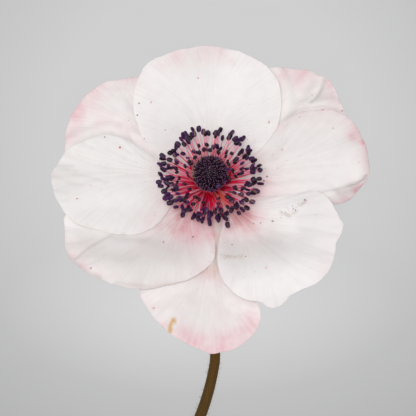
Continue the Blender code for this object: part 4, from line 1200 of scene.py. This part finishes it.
def stem_material():
    nodes = Nodes("stem")
    grain = nodes.noise(nodes.object_place((900, 300, 900)), 4.0)
    colour = nodes.ramp(nodes.value("along"),
                        (0.0, (0.090, 0.036, 0.004)), (0.30, (0.092, 0.042, 0.008)),
                        (0.42, (0.105, 0.055, 0.013)), (0.60, (0.067, 0.039, 0.0115)),
                        (0.75, (0.098, 0.076, 0.020)), (1.0, (0.13, 0.15, 0.040)))
    # Painted shade: darker where the skin is sunk between the ribs
    colour = nodes.tint(colour, (0.052, 0.024, 0.008), nodes.value("rib"), 0.2, 1.0, 0.0, 0.35)
    colour = nodes.tint(colour, (0.14, 0.076, 0.018), grain, 0.45, 0.75, 0.0, 0.3)
    colour = nodes.tint(colour, (0.50, 0.56, 0.32), nodes.value("cut"), 0.02, 0.3)
    return nodes.grained(colour, grain, (0.3, 0.0001), (0.45, 0.62), 0.05)


def hair_material():
    nodes = Nodes("stem hair")
    colour = nodes.mix(nodes.span(nodes.grain(1200), 0.3, 0.7), (0.15, 0.09, 0.04), (0.27, 0.18, 0.09))
    colour = nodes.tint(colour, (0.50, 0.56, 0.38), nodes.value("along"), 0.2, 1.0, 0.0, 0.5)
    return nodes.surface(colour, 0.6, Specular_IOR_Level=0.3)


def leaf_material():
    nodes = Nodes("leaf")
    grain = nodes.grain(700, 4.0)
    green = nodes.mix(nodes.value("tone"), (0.085, 0.165, 0.035), (0.13, 0.22, 0.055))
    colour = nodes.mix(nodes.span(nodes.value("rib"), 0.0, 0.3, 0.55, 0.0), green, (0.30, 0.38, 0.16))
    colour = nodes.tint(colour, (0.16, 0.10, 0.045), nodes.value("along"), 0.75, 1.0, 0.0, 0.35)
    colour = nodes.tint(colour, (0.055, 0.11, 0.02), grain, 0.4, 0.75, 0.0, 0.35)
    return nodes.grained(colour, grain, (0.35, 0.00012), (0.45, 0.62), 0.4)


def pollen_material():
    nodes = Nodes("pollen")
    rosy = nodes.ramp(nodes.value("pink"), (0.0, (0.30, 0.19, 0.22)), (0.35, (0.52, 0.34, 0.36)),
                      (0.6, (0.94, 0.62, 0.62)), (1.0, (0.93, 0.13, 0.14)))
    colour = nodes.mix(nodes.times(nodes.value("tone"), 0.12), rosy, (0.42, 0.28, 0.30))
    colour = nodes.tint(colour, (0.26, 0.17, 0.22), nodes.grain(5000), 0.3, 0.7, 0.0, 0.12)
    return nodes.surface(colour, 0.7)


def floor_material():
    nodes = Nodes("floor")
    # Painted light: the floor glows from within, more towards the flower and most just below its lower petals,
    # which fills in the flower's shadow. Its own colour is near black.
    fade = nodes.span(nodes.distance((1, 1, 1), (0, 0.055, 0)), 0.046, 0.112)
    glow = nodes.mix(fade, (0.580, 0.580, 0.582), (0.400, 0.401, 0.403))
    lift = nodes.span(nodes.distance((0.45, 1, 1), (-0.001, 0.003, 0)), 0.0, 0.027, 0.42, 0.0)
    glow = nodes.mix(lift, glow, (0.80, 0.80, 0.802))
    paper = nodes.span(nodes.grain(60, 4.0), 0.3, 0.7)
    colour = nodes.mix(paper, (0.040, 0.040, 0.041), (0.036, 0.036, 0.037))
    return nodes.surface(colour, 0.8, Specular_IOR_Level=0.1, Emission_Color=glow, Emission_Strength=1.0)


# Stage

def in_scene(name, data):
    made = bpy.data.objects.new(name, data)
    bpy.context.scene.collection.objects.link(made)
    return made


def add_floor(material):
    mesh = bpy.data.meshes.new("floor")
    half = 1.5
    mesh.from_pydata([(-half, -half, 0), (half, -half, 0), (half, half, 0), (-half, half, 0)], [],
                     [(0, 1, 2, 3)])
    mesh.materials.append(material)
    in_scene("floor", mesh)


def add_light(name, place, size, power, target):
    light = bpy.data.lights.new(name, "AREA")
    light.shape = "DISK"
    light.size = size
    light.energy = power
    lamp = in_scene(name, light)
    lamp.location = place
    lamp.rotation_euler = (Vector(target) - Vector(place)).to_track_quat("-Z", "Y").to_euler()


def add_lights():
    head = Vector((0, 0.046, 0.02))
    add_light("key", (-0.30, 0.66, 1.3), 0.9, 8.5, head)
    add_light("fill", (0.35, -0.6, 1.35), 1.2, 2.2, head)
    add_light("front", (-0.05, 0.42, 1.40), 0.3, 7.6, head)
    world = bpy.data.worlds.new("studio")
    world.use_nodes = True
    background = world.node_tree.nodes["Background"]
    background.inputs["Color"].default_value = (1.0, 0.995, 0.99, 1)
    background.inputs["Strength"].default_value = 0.41
    bpy.context.scene.world = world


def add_camera():
    """Looks squarely into the flower's face from half a metre, and takes in what the photograph does."""
    view_wide, distance = 118.1, 500.0
    aimed_at = Vector((-0.57, -7.4, 0))
    camera_data = bpy.data.cameras.new("camera")
    camera_data.angle = 2 * math.atan(view_wide / 2 / distance)
    camera = in_scene("camera", camera_data)
    matrix = FACE @ Matrix.Translation(aimed_at + Vector((0, 0, distance)))
    matrix.translation *= MM
    camera.matrix_world = matrix
    bpy.context.scene.camera = camera


def main():
    bpy.context.scene.view_settings.view_transform = "Standard"
    petal = petal_material()
    for name in PETALS:
        add_petal(name, petal)
    add_stamens(filament_material(), anther_material())
    add_pistil(pistil_material())
    lying, radii = add_stem(stem_material(), hair_material())
    add_ruff(lying, radii, leaf_material())
    add_pollen(pollen_material())
    add_floor(floor_material())
    add_lights()
    add_camera()


main()
bpy.context.view_layer.update()
